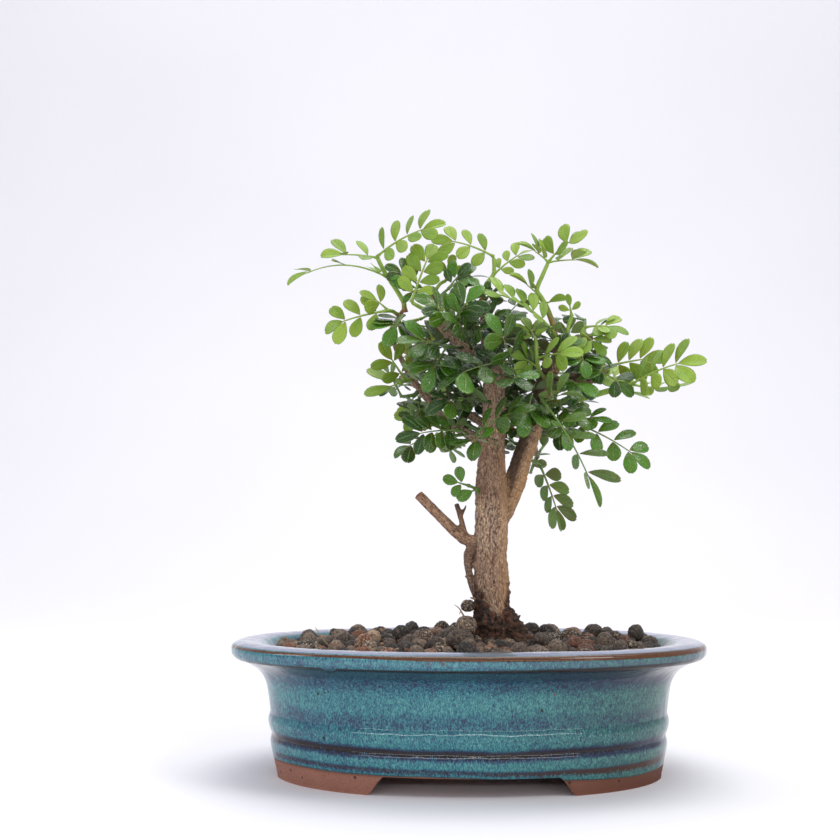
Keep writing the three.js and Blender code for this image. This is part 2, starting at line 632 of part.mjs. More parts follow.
// Height and inset of the outside, from the table up: foot, lower band, groove, raised bead,
// hollow flank and the rolled lip
const OUTSIDE = [
  [0, 14.9], [5.6, 13.9], [9.4, 13], [12.4, 13.6], [14.8, 12.6], [16.8, 12.1], [19.4, 12.9],
  [25, 12], [29.5, 11], [33, 8.8], [36.6, 2.6], [38.4, 0.1], [40.2, 0], [41.4, 1.1], [POT.height, 4],
];

// Height and inset of the inside, from the floor up to the rounded inner edge of the lip
const INSIDE = [
  [POT.floorTop, 18.8], [13, 17.3], [25, 16.6], [33.5, 13.6], [38.5, 12.5], [41.2, 11], [POT.height + 1, 8],
];

const ovals = (profile, extra = 0) => stack(profile.map(([z, inset]) => oval(z, inset + extra)));

// A prism along Y under the pot: the arch between two feet, wider at the table
function footArch(half, reach) {
  const shape = new THREE.Shape();
  shape.moveTo(-half - 0.6, -1);
  shape.lineTo(half + 0.6, -1);
  shape.lineTo(half - 0.5 * POT.gapSlant, 0.62 * POT.footHeight);
  shape.lineTo(half - POT.gapSlant, POT.footHeight);
  shape.lineTo(POT.gapSlant - half, POT.footHeight);
  shape.lineTo(0.5 * POT.gapSlant - half, 0.62 * POT.footHeight);
  const prism = new THREE.ExtrudeGeometry(shape, { depth: 2 * reach, bevelEnabled: false });
  prism.rotateX(Math.PI / 2);
  prism.translate(0, reach, 0);
  return prism;
}

function drainHole(x) {
  const plug = new THREE.CylinderGeometry(DRAIN.radius, DRAIN.radius, POT.floorTop + 4, DRAIN.sides);
  plug.rotateX(Math.PI / 2);
  plug.translate(x, 0, POT.floorTop / 2);
  return solid(plug);
}

function makePot() {
  const recess = stack([-1, POT.footHeight].map((z) => oval(z, OUTSIDE[0][1] + POT.footDepth)));
  return ovals(OUTSIDE)
    .subtract(ovals(INSIDE))
    .subtract(recess)
    .subtract(solid(footArch(POT.frontGap, POT.halfWidth)))
    .subtract(solid(footArch(POT.sideGap, POT.halfLength).rotateZ(Math.PI / 2)))
    .subtract(drainHole(-DRAIN.offset))
    .subtract(drainHole(DRAIN.offset));
}

// A square of plastic mesh over a drain hole, woven of flat bars both ways
function makeDrainMesh(x) {
  const { side, bar, cells, thickness } = DRAIN_MESH;
  const bars = [];
  for (let k = 0; k <= cells; k += 1) {
    const off = (side - bar) * (k / cells - 0.5);
    const one = new THREE.BoxGeometry(side, bar, thickness);
    one.translate(0, off, 0);
    bars.push(one, one.clone().rotateZ(Math.PI / 2));
  }
  return union(bars.map((one) => solid(one.translate(x, 0, POT.floorTop + GAP + thickness / 2))));
}

// The soil: a low mound covered with clay balls, each a six-sided dome

function mound(x, y) {
  const across = Math.hypot(x / (POT.halfLength - 12), y / (POT.halfWidth - 12));
  return SOIL.edge + SOIL.crown * (1 - Math.min(across, 1.1) ** 2);
}

// Whether a whole ball has room between the pot's wall and the foot of the trunk
function isWhole(x, y, reach) {
  const a = POT.halfLength - SOIL.wall - reach;
  const b = POT.halfWidth - SOIL.wall - reach;
  const share = Math.abs(x / a) ** POT.roundness + Math.abs(y / b) ** POT.roundness;
  return share < 1 && Math.hypot(x - 10, y) > SOIL.bare;
}

function makeSoil(roots, pads) {
  const draw = draws(44);
  const rows = Math.ceil((2 * POT.halfWidth) / (SOIL.pitch * 0.866)) + 2;
  const columns = Math.ceil((2 * POT.halfLength) / SOIL.pitch) + 2;
  const points = [];
  const faces = [];
  const index = new Map();
  const point = (x, y, z) => points.push([x, y, z]) - 1;
  const shared = (x, y) => {
    const key = [x, y].map((v) => Math.round(8 * (v + 0.013))).join();
    if (!index.has(key)) index.set(key, point(x, y, mound(x, y)));
    return index.get(key);
  };
  const edges = new Map();
  const face = (a, b, c) => {
    faces.push([a, b, c]);
    for (const [p, q] of [[a, b], [b, c], [c, a]]) {
      if (edges.has(`${q},${p}`)) edges.delete(`${q},${p}`);
      else edges.set(`${p},${q}`, [p, q]);
    }
  };
  const corner = SOIL.pitch / Math.sqrt(3);
  for (let row = 0; row < rows; row += 1) {
    for (let column = 0; column < columns; column += 1) {
      const x = (column - (columns - 1) / 2 + (row % 2) / 2) * SOIL.pitch;
      const y = (row - (rows - 1) / 2) * SOIL.pitch * 0.866;
      const high = mound(x, y) + SOIL.dome * (0.7 + 0.5 * draw());
      const ways = Array.from({ length: 6 }, (_, i) => turned([1, 0], [0, 1], (Math.PI * (2 * i + 1)) / 6));
      const low = ways.map(([c, s]) => shared(x + corner * c, y + corner * s));
      if (!isWhole(x, y, corner)) {
        for (let i = 1; i < 5; i += 1) face(low[0], low[i], low[i + 1]);
        continue;
      }
      const rim = corner * SOIL.domeTop;
      const apex = point(x, y, high);
      const mid = ways.map(([c, s]) => point(x + rim * c, y + rim * s, high - SOIL.domeDrop));
      for (let i = 0; i < 6; i += 1) {
        const j = (i + 1) % 6;
        face(apex, mid[i], mid[j]);
        face(mid[i], low[i], low[j]);
        face(mid[i], low[j], mid[j]);
      }
    }
  }
  const bottomOf = new Map();
  const below = (p) => {
    if (!bottomOf.has(p)) {
      bottomOf.set(p, points.length);
      points.push([points[p][0], points[p][1], 0]);
    }
    return bottomOf.get(p);
  };
  const outline = [...edges.values()];
  for (const [p, q] of outline) faces.push([q, p, below(p)], [q, below(p), below(q)]);
  points.push([0, 0, 0]);
  for (const [p, q] of outline) faces.push([points.length - 1, below(q), below(p)]);
  const bed = ovals(INSIDE.map(([z, inset]) => [Math.max(z, SOIL.bottom), inset]), GAP);
  let body = solidFrom(points, faces).intersect(bed).subtract(roots);
  for (const pad of pads) body = body.subtract(pad);
  return body;
}

// The wood

const SIDES = { trunk: 11, right_fork: 8, left_top: 6, cut_stub: 6, corky_stub: 6, root_right: 7, root_left: 7, root_back: 7 };
const STEPS = { trunk: 14, right_fork: 10, left_top: 7, left_low: 9, cut_stub: 9 };

const branchTube = (name, extra = 0) =>
  tube(WOOD[name], SIDES[name] ?? 5, STEPS[name] ?? WOOD[name].length, extra);

const makeWood = () => union(Object.keys(WOOD).map((name) => branchTube(name)));

// The room that the wood needs in the soil, open above
const rootRoom = () => union(ROOTS.map((name) => branchTube(name, 1.4 * GAP)));

// A leaf as one thin arched blade, its outline cut to the rib between the leaflets

function blade(leaf) {
  const outline = [];
  const rib = LEAF.ribHalf;
  const lobe = (part, order) => {
    const marks = [[0, -1], [0.6, -1], [1, 0], [0.6, 1], [0, 1]];
    for (const [a, b] of order < 0 ? marks.reverse() : marks) {
      const [u, w, h] = onLeaflet(part, a, b);
      const atRib = a === 0;
      const sign = part.side || 1;
      if (!atRib) outline.push([u, w, h]);
      else if (part.side) outline.push([part.u - sign * part.side * b * LEAF.neck, part.side * rib, 0]);
      else outline.push([part.u, b * rib, 0]);
    }
  };
  const right = leaf.parts.filter((part) => part.side < 0);
  const left = leaf.parts.filter((part) => part.side > 0);
  outline.push([0, -rib, 0]);
  right.forEach((part) => lobe(part, -1));
  lobe(leaf.parts.at(-1), 1);
  left.reverse().forEach((part) => lobe(part, 1));
  outline.push([0, rib, 0]);
  const flat = outline.map(([u, w]) => new THREE.Vector2(u, w));
  const thick = LEAF.thickness / 2;
  const n = outline.length;
  const points = [];
  for (const level of [thick, -thick]) {
    for (const [u, w, h] of outline) points.push(onLeaf(leaf, u, w, h + level));
  }
  const faces = [];
  for (const [a, b, c] of THREE.ShapeUtils.triangulateShape(flat, [])) {
    const area = (flat[b].x - flat[a].x) * (flat[c].y - flat[a].y) - (flat[c].x - flat[a].x) * (flat[b].y - flat[a].y);
    const [p, q] = area > 0 ? [b, c] : [c, b];
    faces.push([a, p, q], [a + n, q + n, p + n]);
  }
  for (let i = 0; i < n; i += 1) {
    const j = (i + 1) % n;
    faces.push([i, i + n, j + n], [i, j + n, j]);
  }
  return solidFrom(points, faces);
}

function makeSpray(spray) {
  return union([tube(spray.twig, 5, spray.twig.length - 1), ...spray.leaves.map(blade)]);
}

// The whole object

const bonsai = new THREE.Group();

function place(name, body, material) {
  const mesh = new THREE.Mesh(geometryOf(whole(body)), material);
  mesh.name = name;
  bonsai.add(mesh);
}

const padRoom = [-1, 1].map((sign) => {
  const box = new THREE.BoxGeometry(DRAIN_MESH.side + 2 * GAP, DRAIN_MESH.side + 2 * GAP, 4);
  box.translate(sign * DRAIN.offset, 0, POT.floorTop + DRAIN_MESH.thickness + 2 * GAP - 2);
  return solid(box);
});

place('pot', makePot(), finishes.glaze);
place('drain_mesh_left', makeDrainMesh(-DRAIN.offset), finishes.mesh);
place('drain_mesh_right', makeDrainMesh(DRAIN.offset), finishes.mesh);
place('soil', makeSoil(rootRoom(), padRoom), finishes.clay);
place('trunk', makeWood(), finishes.bark);
for (const spray of growPlan()) {
  place(spray.name, makeSpray(spray), spray.young ? finishes.youngLeaf : finishes.oldLeaf);
}

export default bonsai;
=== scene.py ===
"""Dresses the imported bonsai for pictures: pot glaze, clay balls, bark, twigs and every leaflet.

It is laid out as an add-on and run as a script. Shapes are worked out in millimetres in the frame of
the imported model, X to the right, Y to the back and Z up, and turned to metres when a mesh is made.
"""

import math

import bpy
import numpy as np
from mathutils import Matrix


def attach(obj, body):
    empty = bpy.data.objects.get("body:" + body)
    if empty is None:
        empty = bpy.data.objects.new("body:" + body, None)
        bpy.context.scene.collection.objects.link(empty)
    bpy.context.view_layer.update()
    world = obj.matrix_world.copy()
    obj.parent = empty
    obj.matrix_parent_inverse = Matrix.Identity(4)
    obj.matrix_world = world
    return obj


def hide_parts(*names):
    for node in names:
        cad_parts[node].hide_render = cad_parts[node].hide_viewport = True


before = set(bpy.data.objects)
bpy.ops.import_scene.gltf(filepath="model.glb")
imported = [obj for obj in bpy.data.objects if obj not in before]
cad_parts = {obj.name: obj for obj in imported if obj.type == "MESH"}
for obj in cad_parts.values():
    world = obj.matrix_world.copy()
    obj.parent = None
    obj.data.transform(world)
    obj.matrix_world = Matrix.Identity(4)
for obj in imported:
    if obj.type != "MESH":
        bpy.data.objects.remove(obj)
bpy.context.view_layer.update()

bl_info = {
    "name": "Chinese pepper bonsai",
    "version": (1, 0, 0),
    "blender": (4, 5, 0),
    "location": "3D View > Sidebar > Bonsai",
    "description": "Builds the glazed pot, the clay balls, the bark and the leaves of a small bonsai",
    "category": "Object",
}

MM = 0.001

# The pot in plan is a superellipse with this exponent, and these half axes at the lip
POT_HALF = (77.5, 60.0)
POT_ROUNDNESS = 2.2
POT_HEIGHT = 42.2
FOOT_HEIGHT = 5.6
FLOOR_TOP = 10.0

# Half the width of each arch between the feet, at mid height, and how far its ends lean
FRONT_ARCH = 28.0
SIDE_ARCH = 12.5
ARCH_LEAN = 5.0
DRAIN_OFFSET = 27.0
DRAIN_RADIUS = 6.0

# Height of the soil at the wall of the pot and the rise to its middle
SOIL_EDGE = 37.6
SOIL_CROWN = 4.4
SOIL_INSET = 12.9
TRUNK_FOOT = (10.0, 0.0)

# Rules shared with the solids: the gap between them, how a leaf is laid out, how many sprays are drawn and
# how long their twigs are, the crown's middle and reach, and how hard a leaf looks for room and how much
# it takes, for the sprays placed one by one and for those by rule
GAP = 0.3
LEAF = {"rib": 0.45, "petiole": 3.5, "spread": 0.08, "paired": 0.6, "single": 0.85}
FILL = {"seed": 20, "rounds": 3, "tries": 160, "twig": 7.0, "radius": 0.55}
CROWN = ((6, 6, 131), (42, 46, 33))
PLACED = {"tries": 60, "spare": 0.0, "near": 3.2}
RULED = {"tries": 6, "spare": 0.25, "near": 2.4}

# The balls that stand for wood, leaves and twigs where room is sought: how much wider than the wood and
# the twigs they are, how far apart along a rib, and their radii there and on a blade
BALLS = {"wood": 0.6, "twig": 0.35, "spacing": 2.2, "rib": 0.95, "blade": 1.05, "widest": 1.4}

# No leaf hangs lower than this or nearer to the side of the space than this
LOWEST_LEAF = 62
SIDE_ROOM = 0.8

# Shoots that only the scene has, each row with a branch, how many and where on it they stand. They
# keep out of clearings, each given by its reach in X and in Z and by the Y that it ends at.
SHOOTS = {"tries": 4, "spare": -0.5, "near": 2.0, "scale": 0.68, "twig": 0.2}
SHOOT_CROWN = ((6, 9, 131), (42, 49, 33))
GAP_CARE = {"tries": 40, "spare": -0.6, "near": 3.0}
THICKET = [
    ("trunk", 8, 0.72, 0.97), ("left_top", 10, 0.05, 0.97), ("right_fork", 12, 0.45, 0.97),
    ("left_low", 10, 0.1, 0.97), ("top_mid", 5, 0.1, 0.97), ("corky_stub", 4, 0.1, 0.97),
    ("top_right", 4, 0.1, 0.97), ("back_left", 6, 0.1, 0.97), ("back_mid", 6, 0.1, 0.97),
    ("back_right", 6, 0.1, 0.97), ("back_low", 4, 0.15, 0.97), ("back_left", 3, 0.88, 1.0),
    ("back_mid", 3, 0.88, 1.0), ("back_right", 3, 0.88, 1.0), ("back_low", 3, 0.88, 1.0),
]
CLEARINGS = (
    ((4, 18), (96, 121), 4), ((-60, -22), (90, 122), 60), ((14, 30), (90, 104), 60),
    ((33, 50), (122, 136), 4),
)

# Shoots placed one by one where the crown would show a hole or a bare stick: the branch that each stands
# on, its twig and its leaves, each with its place on the twig, tip, pairs, size, turn and arch
GAP_SHOOTS = [
    ("trunk", [(6.2, 1.5, 111.5), (3.5, 4, 113), (1.5, 6, 114.5)],
     [(1, (-9, 8, 119), 3, 7.5, 60, 0.1), (1, (6, 9, 124), 2, 7.5, 50, 0.1),
      (0.8, (-5, 4, 112), 2, 6.5, 50, 0.1)]),
    ("top_mid", [(6.2, 0, 144), (6, -3, 145.5), (5.5, -5, 147)],
     [(1, (-4, -10, 154), 2, 7.5, 60, 0.1), (1, (15, -11, 151), 2, 7.5, 60, 0.1),
      (0.8, (6, -14, 142), 2, 7, 60, 0.1)]),
    ("top_mid", [(6.2, 0.4, 153.5), (6.5, -2, 155), (7, -4, 156.5)],
     [(1, (14, -8, 162), 2, 7, 60, 0.1), (1, (0, -8, 163), 2, 7, 60, 0.1)]),
    ("left_top", [(2, -4.2, 139), (1, -8, 140.5), (0, -11, 141.5)],
     [(1, (-10, -18, 147), 2, 8, 60, 0.1), (1, (9, -18, 144), 2, 8, 55, 0.1)]),
    ("right_fork", [(24, 0.4, 116), (22, -3, 118), (20.5, -6, 119)],
     [(1, (29, -14, 112), 2, 7.5, 60, 0.1), (1, (13, -12, 118), 2, 7, 60, 0.1)]),
    ("right_fork", [(29, 0.2, 133), (29, -4, 135), (29.5, -7, 136)],
     [(1, (38, -14, 140), 2, 8, 60, 0.1), (1, (22, -15, 142), 2, 8, 55, 0.1)]),
    ("corky_stub", [(40, -2.8, 130), (41, -5, 131.5), (42, -7, 132)],
     [(1, (55, -10, 122), 2, 7.5, 55, 0.1), (1, (33, -14, 118), 2, 7.5, 60, 0.1)]),
    ("left_top", [(-12.8, -2, 159), (-14.5, -3, 160), (-15.5, -4, 161)],
     [(1, (-28, -4, 168.5), 3, 7, 60, 0.05), (1, (-21, -5, 155.5), 2, 7, 60, 0.1)]),
    ("left_top", [(-10.2, -2.6, 156), (-8, -5, 158), (-6, -6, 159.5)],
     [(1, (8, -9, 164), 4, 7.5, 45, 0.1), (1, (-4, -8, 169), 2, 7, 60, 0.05)]),
    ("left_top", [(-9.6, -4, 149.5), (-11, -6, 150.5), (-13, -7, 151)],
     [(1, (-25, -10, 158), 3, 7.5, 55, 0.1)]),
    ("right_fork", [(36, 0.6, 139), (37, -3, 139), (38, -6, 138)],
     [(1, (49, -12, 136), 2, 8, 60, 0.1), (1, (40, -16, 128), 3, 8, 50, 0.1)]),
    ("right_fork", [(26.5, 0.6, 124), (27, -4, 122), (28, -8, 120)],
     [(1, (40, -16, 110), 3, 8, 40, 0.1), (1, (33, -18, 103), 3, 8, 30, 0.1)]),
    ("corky_stub", [(43, -2.6, 129), (44.5, -4, 127), (46, -5, 125.5)],
     [(1, (60, -12, 117), 3, 8, 45, 0.1)]),
    ("trunk_left_low", [(4.3, -2.8, 90), (3.6, -4, 91), (3.2, -4.6, 91.4)],
     [(1, (-3.4, -6.5, 88), 0, 9, 75, 0.05)]),
]

# The wood, each branch from its root to its tip: x, y, z and radius
WOOD = {
    "trunk": [
        (10, 0, 33, 7), (10.5, 0, 40, 8.2), (9.5, 0, 45, 7.2), (8.5, 0, 53, 6.1), (8, 0, 63, 5.4),
        (8, 0, 73, 5.3), (8.5, 0, 82, 5.6), (8.5, 0, 91.5, 5.1), (9, 0, 103.5, 4.2),
        (9.5, 0, 115.5, 3.9), (9.5, 0, 125.5, 3.7), (10.5, 0, 132.5, 3.4), (13, 0, 136, 2.4),
    ],
    "root_right": [(10, -1, 50, 4), (15, -3, 44.5, 3.8), (19, -6, 39, 2.8), (22, -8, 35, 1.6)],
    "root_left": [(9, 0, 48, 4), (3.5, -2, 43, 3.2), (-0.5, -4, 38, 2.2), (-3, -5, 35, 1.4)],
    "root_back": [(9, 1, 48, 4), (8, 6.5, 43, 3.2), (7, 10, 38, 2.2), (6, 12, 35, 1.4)],
    "right_fork": [
        (10, 1, 79.5, 3.4), (15.5, 2, 91.5, 3.6), (19, 3, 102, 3.4), (23, 4, 112.5, 3.3),
        (26, 4, 122.5, 3.1), (28, 3, 130, 2.9), (31.5, 1, 136, 2.5), (36, 0, 140, 2.1),
        (40, -1, 142.5, 1.7), (43.5, -1, 144, 1.1),
    ],
    "left_top": [
        (12.5, 0, 134.5, 2.4), (6, -2, 137.5, 2.1), (-0.5, -3, 139.5, 1.8), (-5.5, -3, 144, 1.6),
        (-9, -3, 148.5, 1.5), (-11, -2, 155, 1.4), (-12, -2, 160.5, 1.2),
    ],
    "left_low": [
        (6, 0, 106.5, 1.8), (1.5, 1, 110, 1.6), (-2.5, 2, 112.5, 1.5), (-7.5, 3, 116.5, 1.4),
        (-12.5, 5, 122.5, 1.3), (-18, 6, 130, 1.1), (-22, 6, 137, 1), (-25, 5, 144, 0.9),
        (-24, 3, 150, 0.8), (-21.5, 1, 154, 0.7),
    ],
    "cut_stub": [
        (5, 0, 52.5, 1.6), (2.2, 0, 58.5, 1.3), (0.6, -1, 64.5, 1.2), (0.6, -1, 69.5, 1.7),
        (2.5, -1, 73.5, 2.4), (-1.5, -1, 75.5, 2.2), (-7, -2, 80.5, 1.9), (-12, -3, 85.5, 1.9),
        (-16.5, -4, 90, 1.9),
    ],
    "small_stub": [(0.5, -1, 73.5, 1.2), (-1, -1, 78.5, 1.1), (-2.5, -1, 84, 1.1), (-3.5, -1, 87, 1)],
    "stub_fork": [(-2, -1, 82, 0.7), (-0.8, -1, 84.5, 0.6), (0, -1, 86.5, 0.5)],
    "corky_stub": [
        (29, 3, 128, 1.5), (33.5, 1, 129, 1.6), (37.5, 0, 129.5, 1.8), (41.5, -1, 129.5, 1.8),
        (45, -1, 129.5, 1.4),
    ],
    "dry_twig": [(43.5, -1, 129.5, 0.8), (46.5, -1.5, 131, 0.6), (49.5, -2, 132, 0.5)],
    "top_right": [(31, 0, 135.5, 1.5), (31, -2, 141, 1.2), (30, -3, 146.5, 1)],
    "top_mid": [(9, 0, 136, 1.6), (6.5, 0, 141.5, 1.2), (6, 1, 148.5, 1), (6, 1, 157.5, 0.8)],
    "back_left": [(8, 1, 113, 1.6), (-2, 14, 121, 1.4), (-14, 26, 129, 1.1), (-24, 34, 136, 0.8)],
    "back_mid": [(11, 1, 131, 1.6), (10, 15, 138, 1.4), (4, 28, 146, 1.1), (-2, 38, 151, 0.8)],
    "back_right": [(25, 5, 123, 1.6), (33, 17, 130, 1.4), (40, 28, 136, 1.1), (44, 38, 139, 0.8)],
    "back_low": [(21, 5, 108, 1.5), (24, 18, 110, 1.3), (26, 30, 109, 1), (28, 40, 106, 0.7)],
}

# The sprays that stand alone in view: whether young, the radius of the twig at both ends, its points, and
# its leaves, each with its place on the twig, tip, pairs, size, turn and arch
SPRAYS = {
    "upper_left": (
        True, (0.7, 0.55),
        [(-21.1, 0.7, 154.6), (-21.5, 0.4, 156.8), (-24, 0, 161), (-28, -1, 167), (-30.5, -2, 172)],
        [
            (0.66, (-61, -6, 161), 3, 8, 15, 0.16),
            (0.97, (-50.5, -4, 169.5), 2, 8.5, 40, 0.05),
            (1, (-6.5, -8, 182), 4, 8.5, 60, 0.1),
        ],
    ),
    "upper_mid": (
        True, (0.6, 0.5), [(-11, -4.5, 151.5), (-14.5, -7, 152.5), (-18.5, -8, 154.5)],
        [
            (1, (-13, -9, 179.5), 4, 8.5, 70, 0.05),
            (1, (5, -14, 158), 3, 9, 30, 0.2),
        ],
    ),
    "stub_top": (
        True, (0.5, 0.45), [(-10.2, -1, 160.5), (-8.5, 0, 163), (-6.5, 0, 164)],
        [(1, (-4, 0, 173.5), 1, 7, 80, 0)],
    ),
    "top_mid": (
        True, (0.7, 0.5), [(6, 1, 158.2), (7.5, 1, 163), (10, 2, 167), (10, 2, 173)],
        [
            (1, (-13, 0, 179.5), 3, 8, 70, 0.12),
            (0.6, (24, 4, 176.5), 3, 6.5, 50, 0.08),
        ],
    ),
    "top_right": (
        True, (0.8, 0.5),
        [
            (30, -3, 147.2), (28, -3, 153), (26, -3, 157), (24.5, -3, 160), (26.5, -3, 165),
            (28.5, -3, 169.5),
        ],
        [
            (1, (45.5, -8, 168), 2, 9, 20, 0.05),
            (1, (17.5, -6, 175), 2, 8.5, 30, 0.08),
            (1, (42.5, 2, 180.5), 2, 8, 30, 0.1),
            (0.45, (15.5, -8, 165), 1, 9, 30, 0),
            (0.3, (34.5, -6, 156), 0, 8, 50, 0),
        ],
    ),
    "right_up": (
        True, (0.6, 0.5), [(36, -1, 142.7), (35, -1, 146), (36.5, -1, 151)],
        [(1, (35, -3, 158.5), 1, 9, 60, 0)],
    ),
    "right_mid": (
        True, (0.55, 0.5), [(40, -3.3, 142.5), (39.5, -4, 144.5), (40.5, -4, 146.5)],
        [
            (1, (55, -8, 143.5), 3, 8, 40, 0.1),
            (0.5, (45, -12, 135), 2, 8, 60, 0.1),
        ],
    ),
    "right_high": (
        True, (0.5, 0.45), [(45.8, 0.2, 132), (46.8, 0.8, 133.2), (49, 1, 134)],
        [(1, (69, -4, 136.5), 3, 9.5, 75, 0.05)],
    ),
    "right_long": (
        True, (1, 0.7), [(28, 0.4, 121), (32.5, -2, 121), (38.5, -4, 122), (47, -7, 124), (55, -10, 126)],
        [
            (1, (77, -24, 132), 4, 9.5, 60, 0.08),
            (1, (74, -14, 126.5), 3, 8, 30, -0.1),
            (0.8, (62.5, -2, 123), 1, 8, 20, 0),
        ],
    ),
    "right_far": (
        True, (0.6, 0.5), [(29.5, 6.6, 129.5), (37, 10, 130.5), (44, 12, 131.5)],
        [
            (1, (61, 16, 131.5), 3, 8, 40, 0.05),
            (0.8, (48.5, 12, 141.5), 1, 9, 70, 0),
        ],
    ),
    "right_low": (
        False, (0.65, 0.5), [(26.5, 0.6, 115), (30.5, -2, 115.5), (35.5, -4, 114)],
        [
            (1, (60.5, -10, 98), 4, 8.5, 55, 0.08),
            (0.8, (46.5, -8, 117), 2, 7.5, 50, 0.05),
        ],
    ),
    "front_droop": (
        False, (0.7, 0.55), [(25.5, 0, 123), (24.5, -10, 121.5), (25, -18, 118.5)],
        [
            (1, (40.5, -32, 84), 5, 11, 50, 0.1),
            (0.9, (36.5, -28, 120), 2, 9, 60, 0.1),
        ],
    ),
    "hang_right": (
        False, (0.55, 0.5), [(20.5, 6.6, 102.5), (23.5, 9, 102), (26, 10, 100.5)],
        [(1, (33.5, 12, 78), 4, 8.5, 75, 0.12)],
    ),
    "trunk_left": (
        False, (0.5, 0.45), [(4, -2.9, 91.5), (2.4, -4, 92), (1, -5, 92.5)],
        [(1, (-8, -8, 95), 1, 8.5, 85, 0)],
    ),
    "left_row": (
        False, (0.6, 0.5), [(0, -1, 110.5), (-1.5, -6, 111), (-2.5, -11, 110.5)],
        [
            (1, (-23.5, -18, 106.5), 4, 9, 60, 0.08),
            (0.5, (-25, -4, 102.5), 2, 7, 50, 0.1),
        ],
    ),
    "trunk_front": (
        False, (0.6, 0.5), [(7, -4.1, 109), (5, -10, 108.5), (3, -14, 109)],
        [
            (1, (1.5, -26, 99.5), 2, 9, 60, 0.1),
            (1, (19.5, -24, 114.5), 3, 9, 60, 0.1),
        ],
    ),
    "left_far": (
        True, (0.55, 0.45), [(-13, 6.7, 123), (-14.5, 14, 125.5), (-16, 20, 126.5)],
        [(1, (-21, 24, 113.5), 3, 7.5, 80, 0.03)],
    ),
    "left_big": (
        True, (0.55, 0.5), [(-19, 4.6, 130), (-20.5, 3, 129.5), (-22, 1, 128.5)],
        [
            (1, (-34, -2, 132.5), 0, 11, 60, 0),
            (1, (-34.5, -4, 123), 0, 11, 60, 0),
            (0.6, (-29, -3, 142.5), 2, 8, 70, 0.05),
        ],
    ),
    "left_fan": (
        False, (0.55, 0.5), [(-24.3, 2, 148.5), (-22.8, -1, 150.5), (-21, -4, 151)],
        [
            (1, (-27, -12, 138.5), 4, 9, 75, 0.1),
            (1, (-9, -14, 142), 3, 9, 60, 0.1),
        ],
    ),
    "left_mid": (
        True, (0.55, 0.5), [(-24, 1.3, 152.7), (-25.2, -1, 153), (-27, -4, 152.5)],
        [
            (1, (-46.5, -8, 147), 3, 9, 70, 0.08),
            (0.8, (-36, -6, 159.5), 1, 8, 60, 0.05),
        ],
    ),
    "centre_upper": (
        False, (0.6, 0.5), [(-7, -4.8, 145.5), (-6, -10, 145.5), (-4.5, -14, 146.5)],
        [
            (1, (-17.5, -18, 154.5), 2, 10, 50, 0.08),
            (1, (3, -16, 157), 3, 9, 60, 0.08),
        ],
    ),
    "centre_left": (
        False, (0.6, 0.5), [(-1.5, -5.2, 139.5), (-4, -11, 138.5), (-6.5, -14, 138)],
        [
            (1, (-23.5, -20, 139), 3, 9.5, 60, 0.08),
            (1, (-14, -18, 122), 3, 9.5, 50, 0.1),
        ],
    ),
    "centre_front": (
        False, (0.65, 0.55), [(12.5, -3.9, 133), (14, -10, 133), (15, -14, 132.5)],
        [
            (1, (-10, -26, 121.5), 3, 11, 45, 0.1),
            (1, (7.5, -24, 147.5), 2, 10, 60, 0.08),
        ],
    ),
    "long_top": (
        True, (0.6, 0.5), [(30.2, -4.5, 143.6), (29, -7, 145), (28, -9, 145.5)],
        [(1, (-1.5, -16, 155.5), 5, 8.5, 40, 0.12)],
    ),
    "upright": (
        True, (0.65, 0.5), [(27, -0.4, 129.5), (24.5, -6, 131.5), (23.5, -9, 136), (23.5, -9, 141)],
        [
            (1, (24, -11, 154), 2, 9.5, 70, 0),
            (0.6, (38, -18, 135.5), 2, 9, 60, 0.05),
            (0.4, (10, -20, 137.5), 2, 10, 60, 0.05),
        ],
    ),
    "centre_low": (
        False, (0.6, 0.5), [(7.5, -4.2, 121), (4, -9, 121), (2.5, -12, 121)],
        [
            (1, (-14, -18, 115.5), 2, 9.5, 50, 0.1),
            (1, (-7, -22, 129), 2, 9, 50, 0.05),
        ],
    ),
    "fork_front": (
        False, (0.6, 0.5), [(25, 0.4, 119), (23, -6, 121), (21.5, -11, 122)],
        [(1, (18, -20, 109), 2, 9.5, 60, 0.1)],
    ),
    "centre_mid": (
        False, (0.6, 0.5), [(9, -4.1, 128), (9.5, -9, 128.5), (10, -13, 128.5)],
        [
            (1, (-7, -22, 132), 2, 9.5, 55, 0.08),
            (1, (26, -21, 127), 2, 9.5, 55, 0.08),
        ],
    ),
    "fork_mid": (
        False, (0.6, 0.5), [(29, -0.7, 130), (28.5, -6, 130), (28.5, -10, 129)],
        [(1, (43, -17, 121), 2, 9, 60, 0.08)],
    ),
    "fork_back": (
        False, (0.5, 0.45), [(19.4, 7.2, 104.7), (19, 9, 107), (18, 11, 108)],
        [(1, (11, 15, 113.5), 1, 9, 70, 0)],
    ),
}

# The branches that carry sprays by rule, and the share of each that stays bare at its root
LEAFY = {
    "back_left": 0.3, "back_mid": 0.3, "back_right": 0.3, "back_low": 0.3, "right_fork": 0.5,
    "left_low": 0.45,
}


# Directions, curves and noise


def unit(vector):
    """The vector divided by its length."""
    return vector / np.linalg.norm(vector)


def square_to(axis, direction):
    """The part of a direction that is square to an axis, made one long."""
    return unit(direction - axis * (axis @ direction))


def draws(seed):
    """A seeded draw from 0 to 1: a 32-bit state is stepped by a constant and its bits are mixed."""
    state = [seed & 0xFFFFFFFF]

    def draw():
        state[0] = (state[0] + 0x6D2B79F5) & 0xFFFFFFFF
        bits = state[0]
        bits = ((bits ^ (bits >> 15)) * (bits | 1)) & 0xFFFFFFFF
        bits ^= (bits + (bits ^ (bits >> 7)) * (bits | 61)) & 0xFFFFFFFF
        return (bits ^ (bits >> 14)) / 4294967296

    return draw


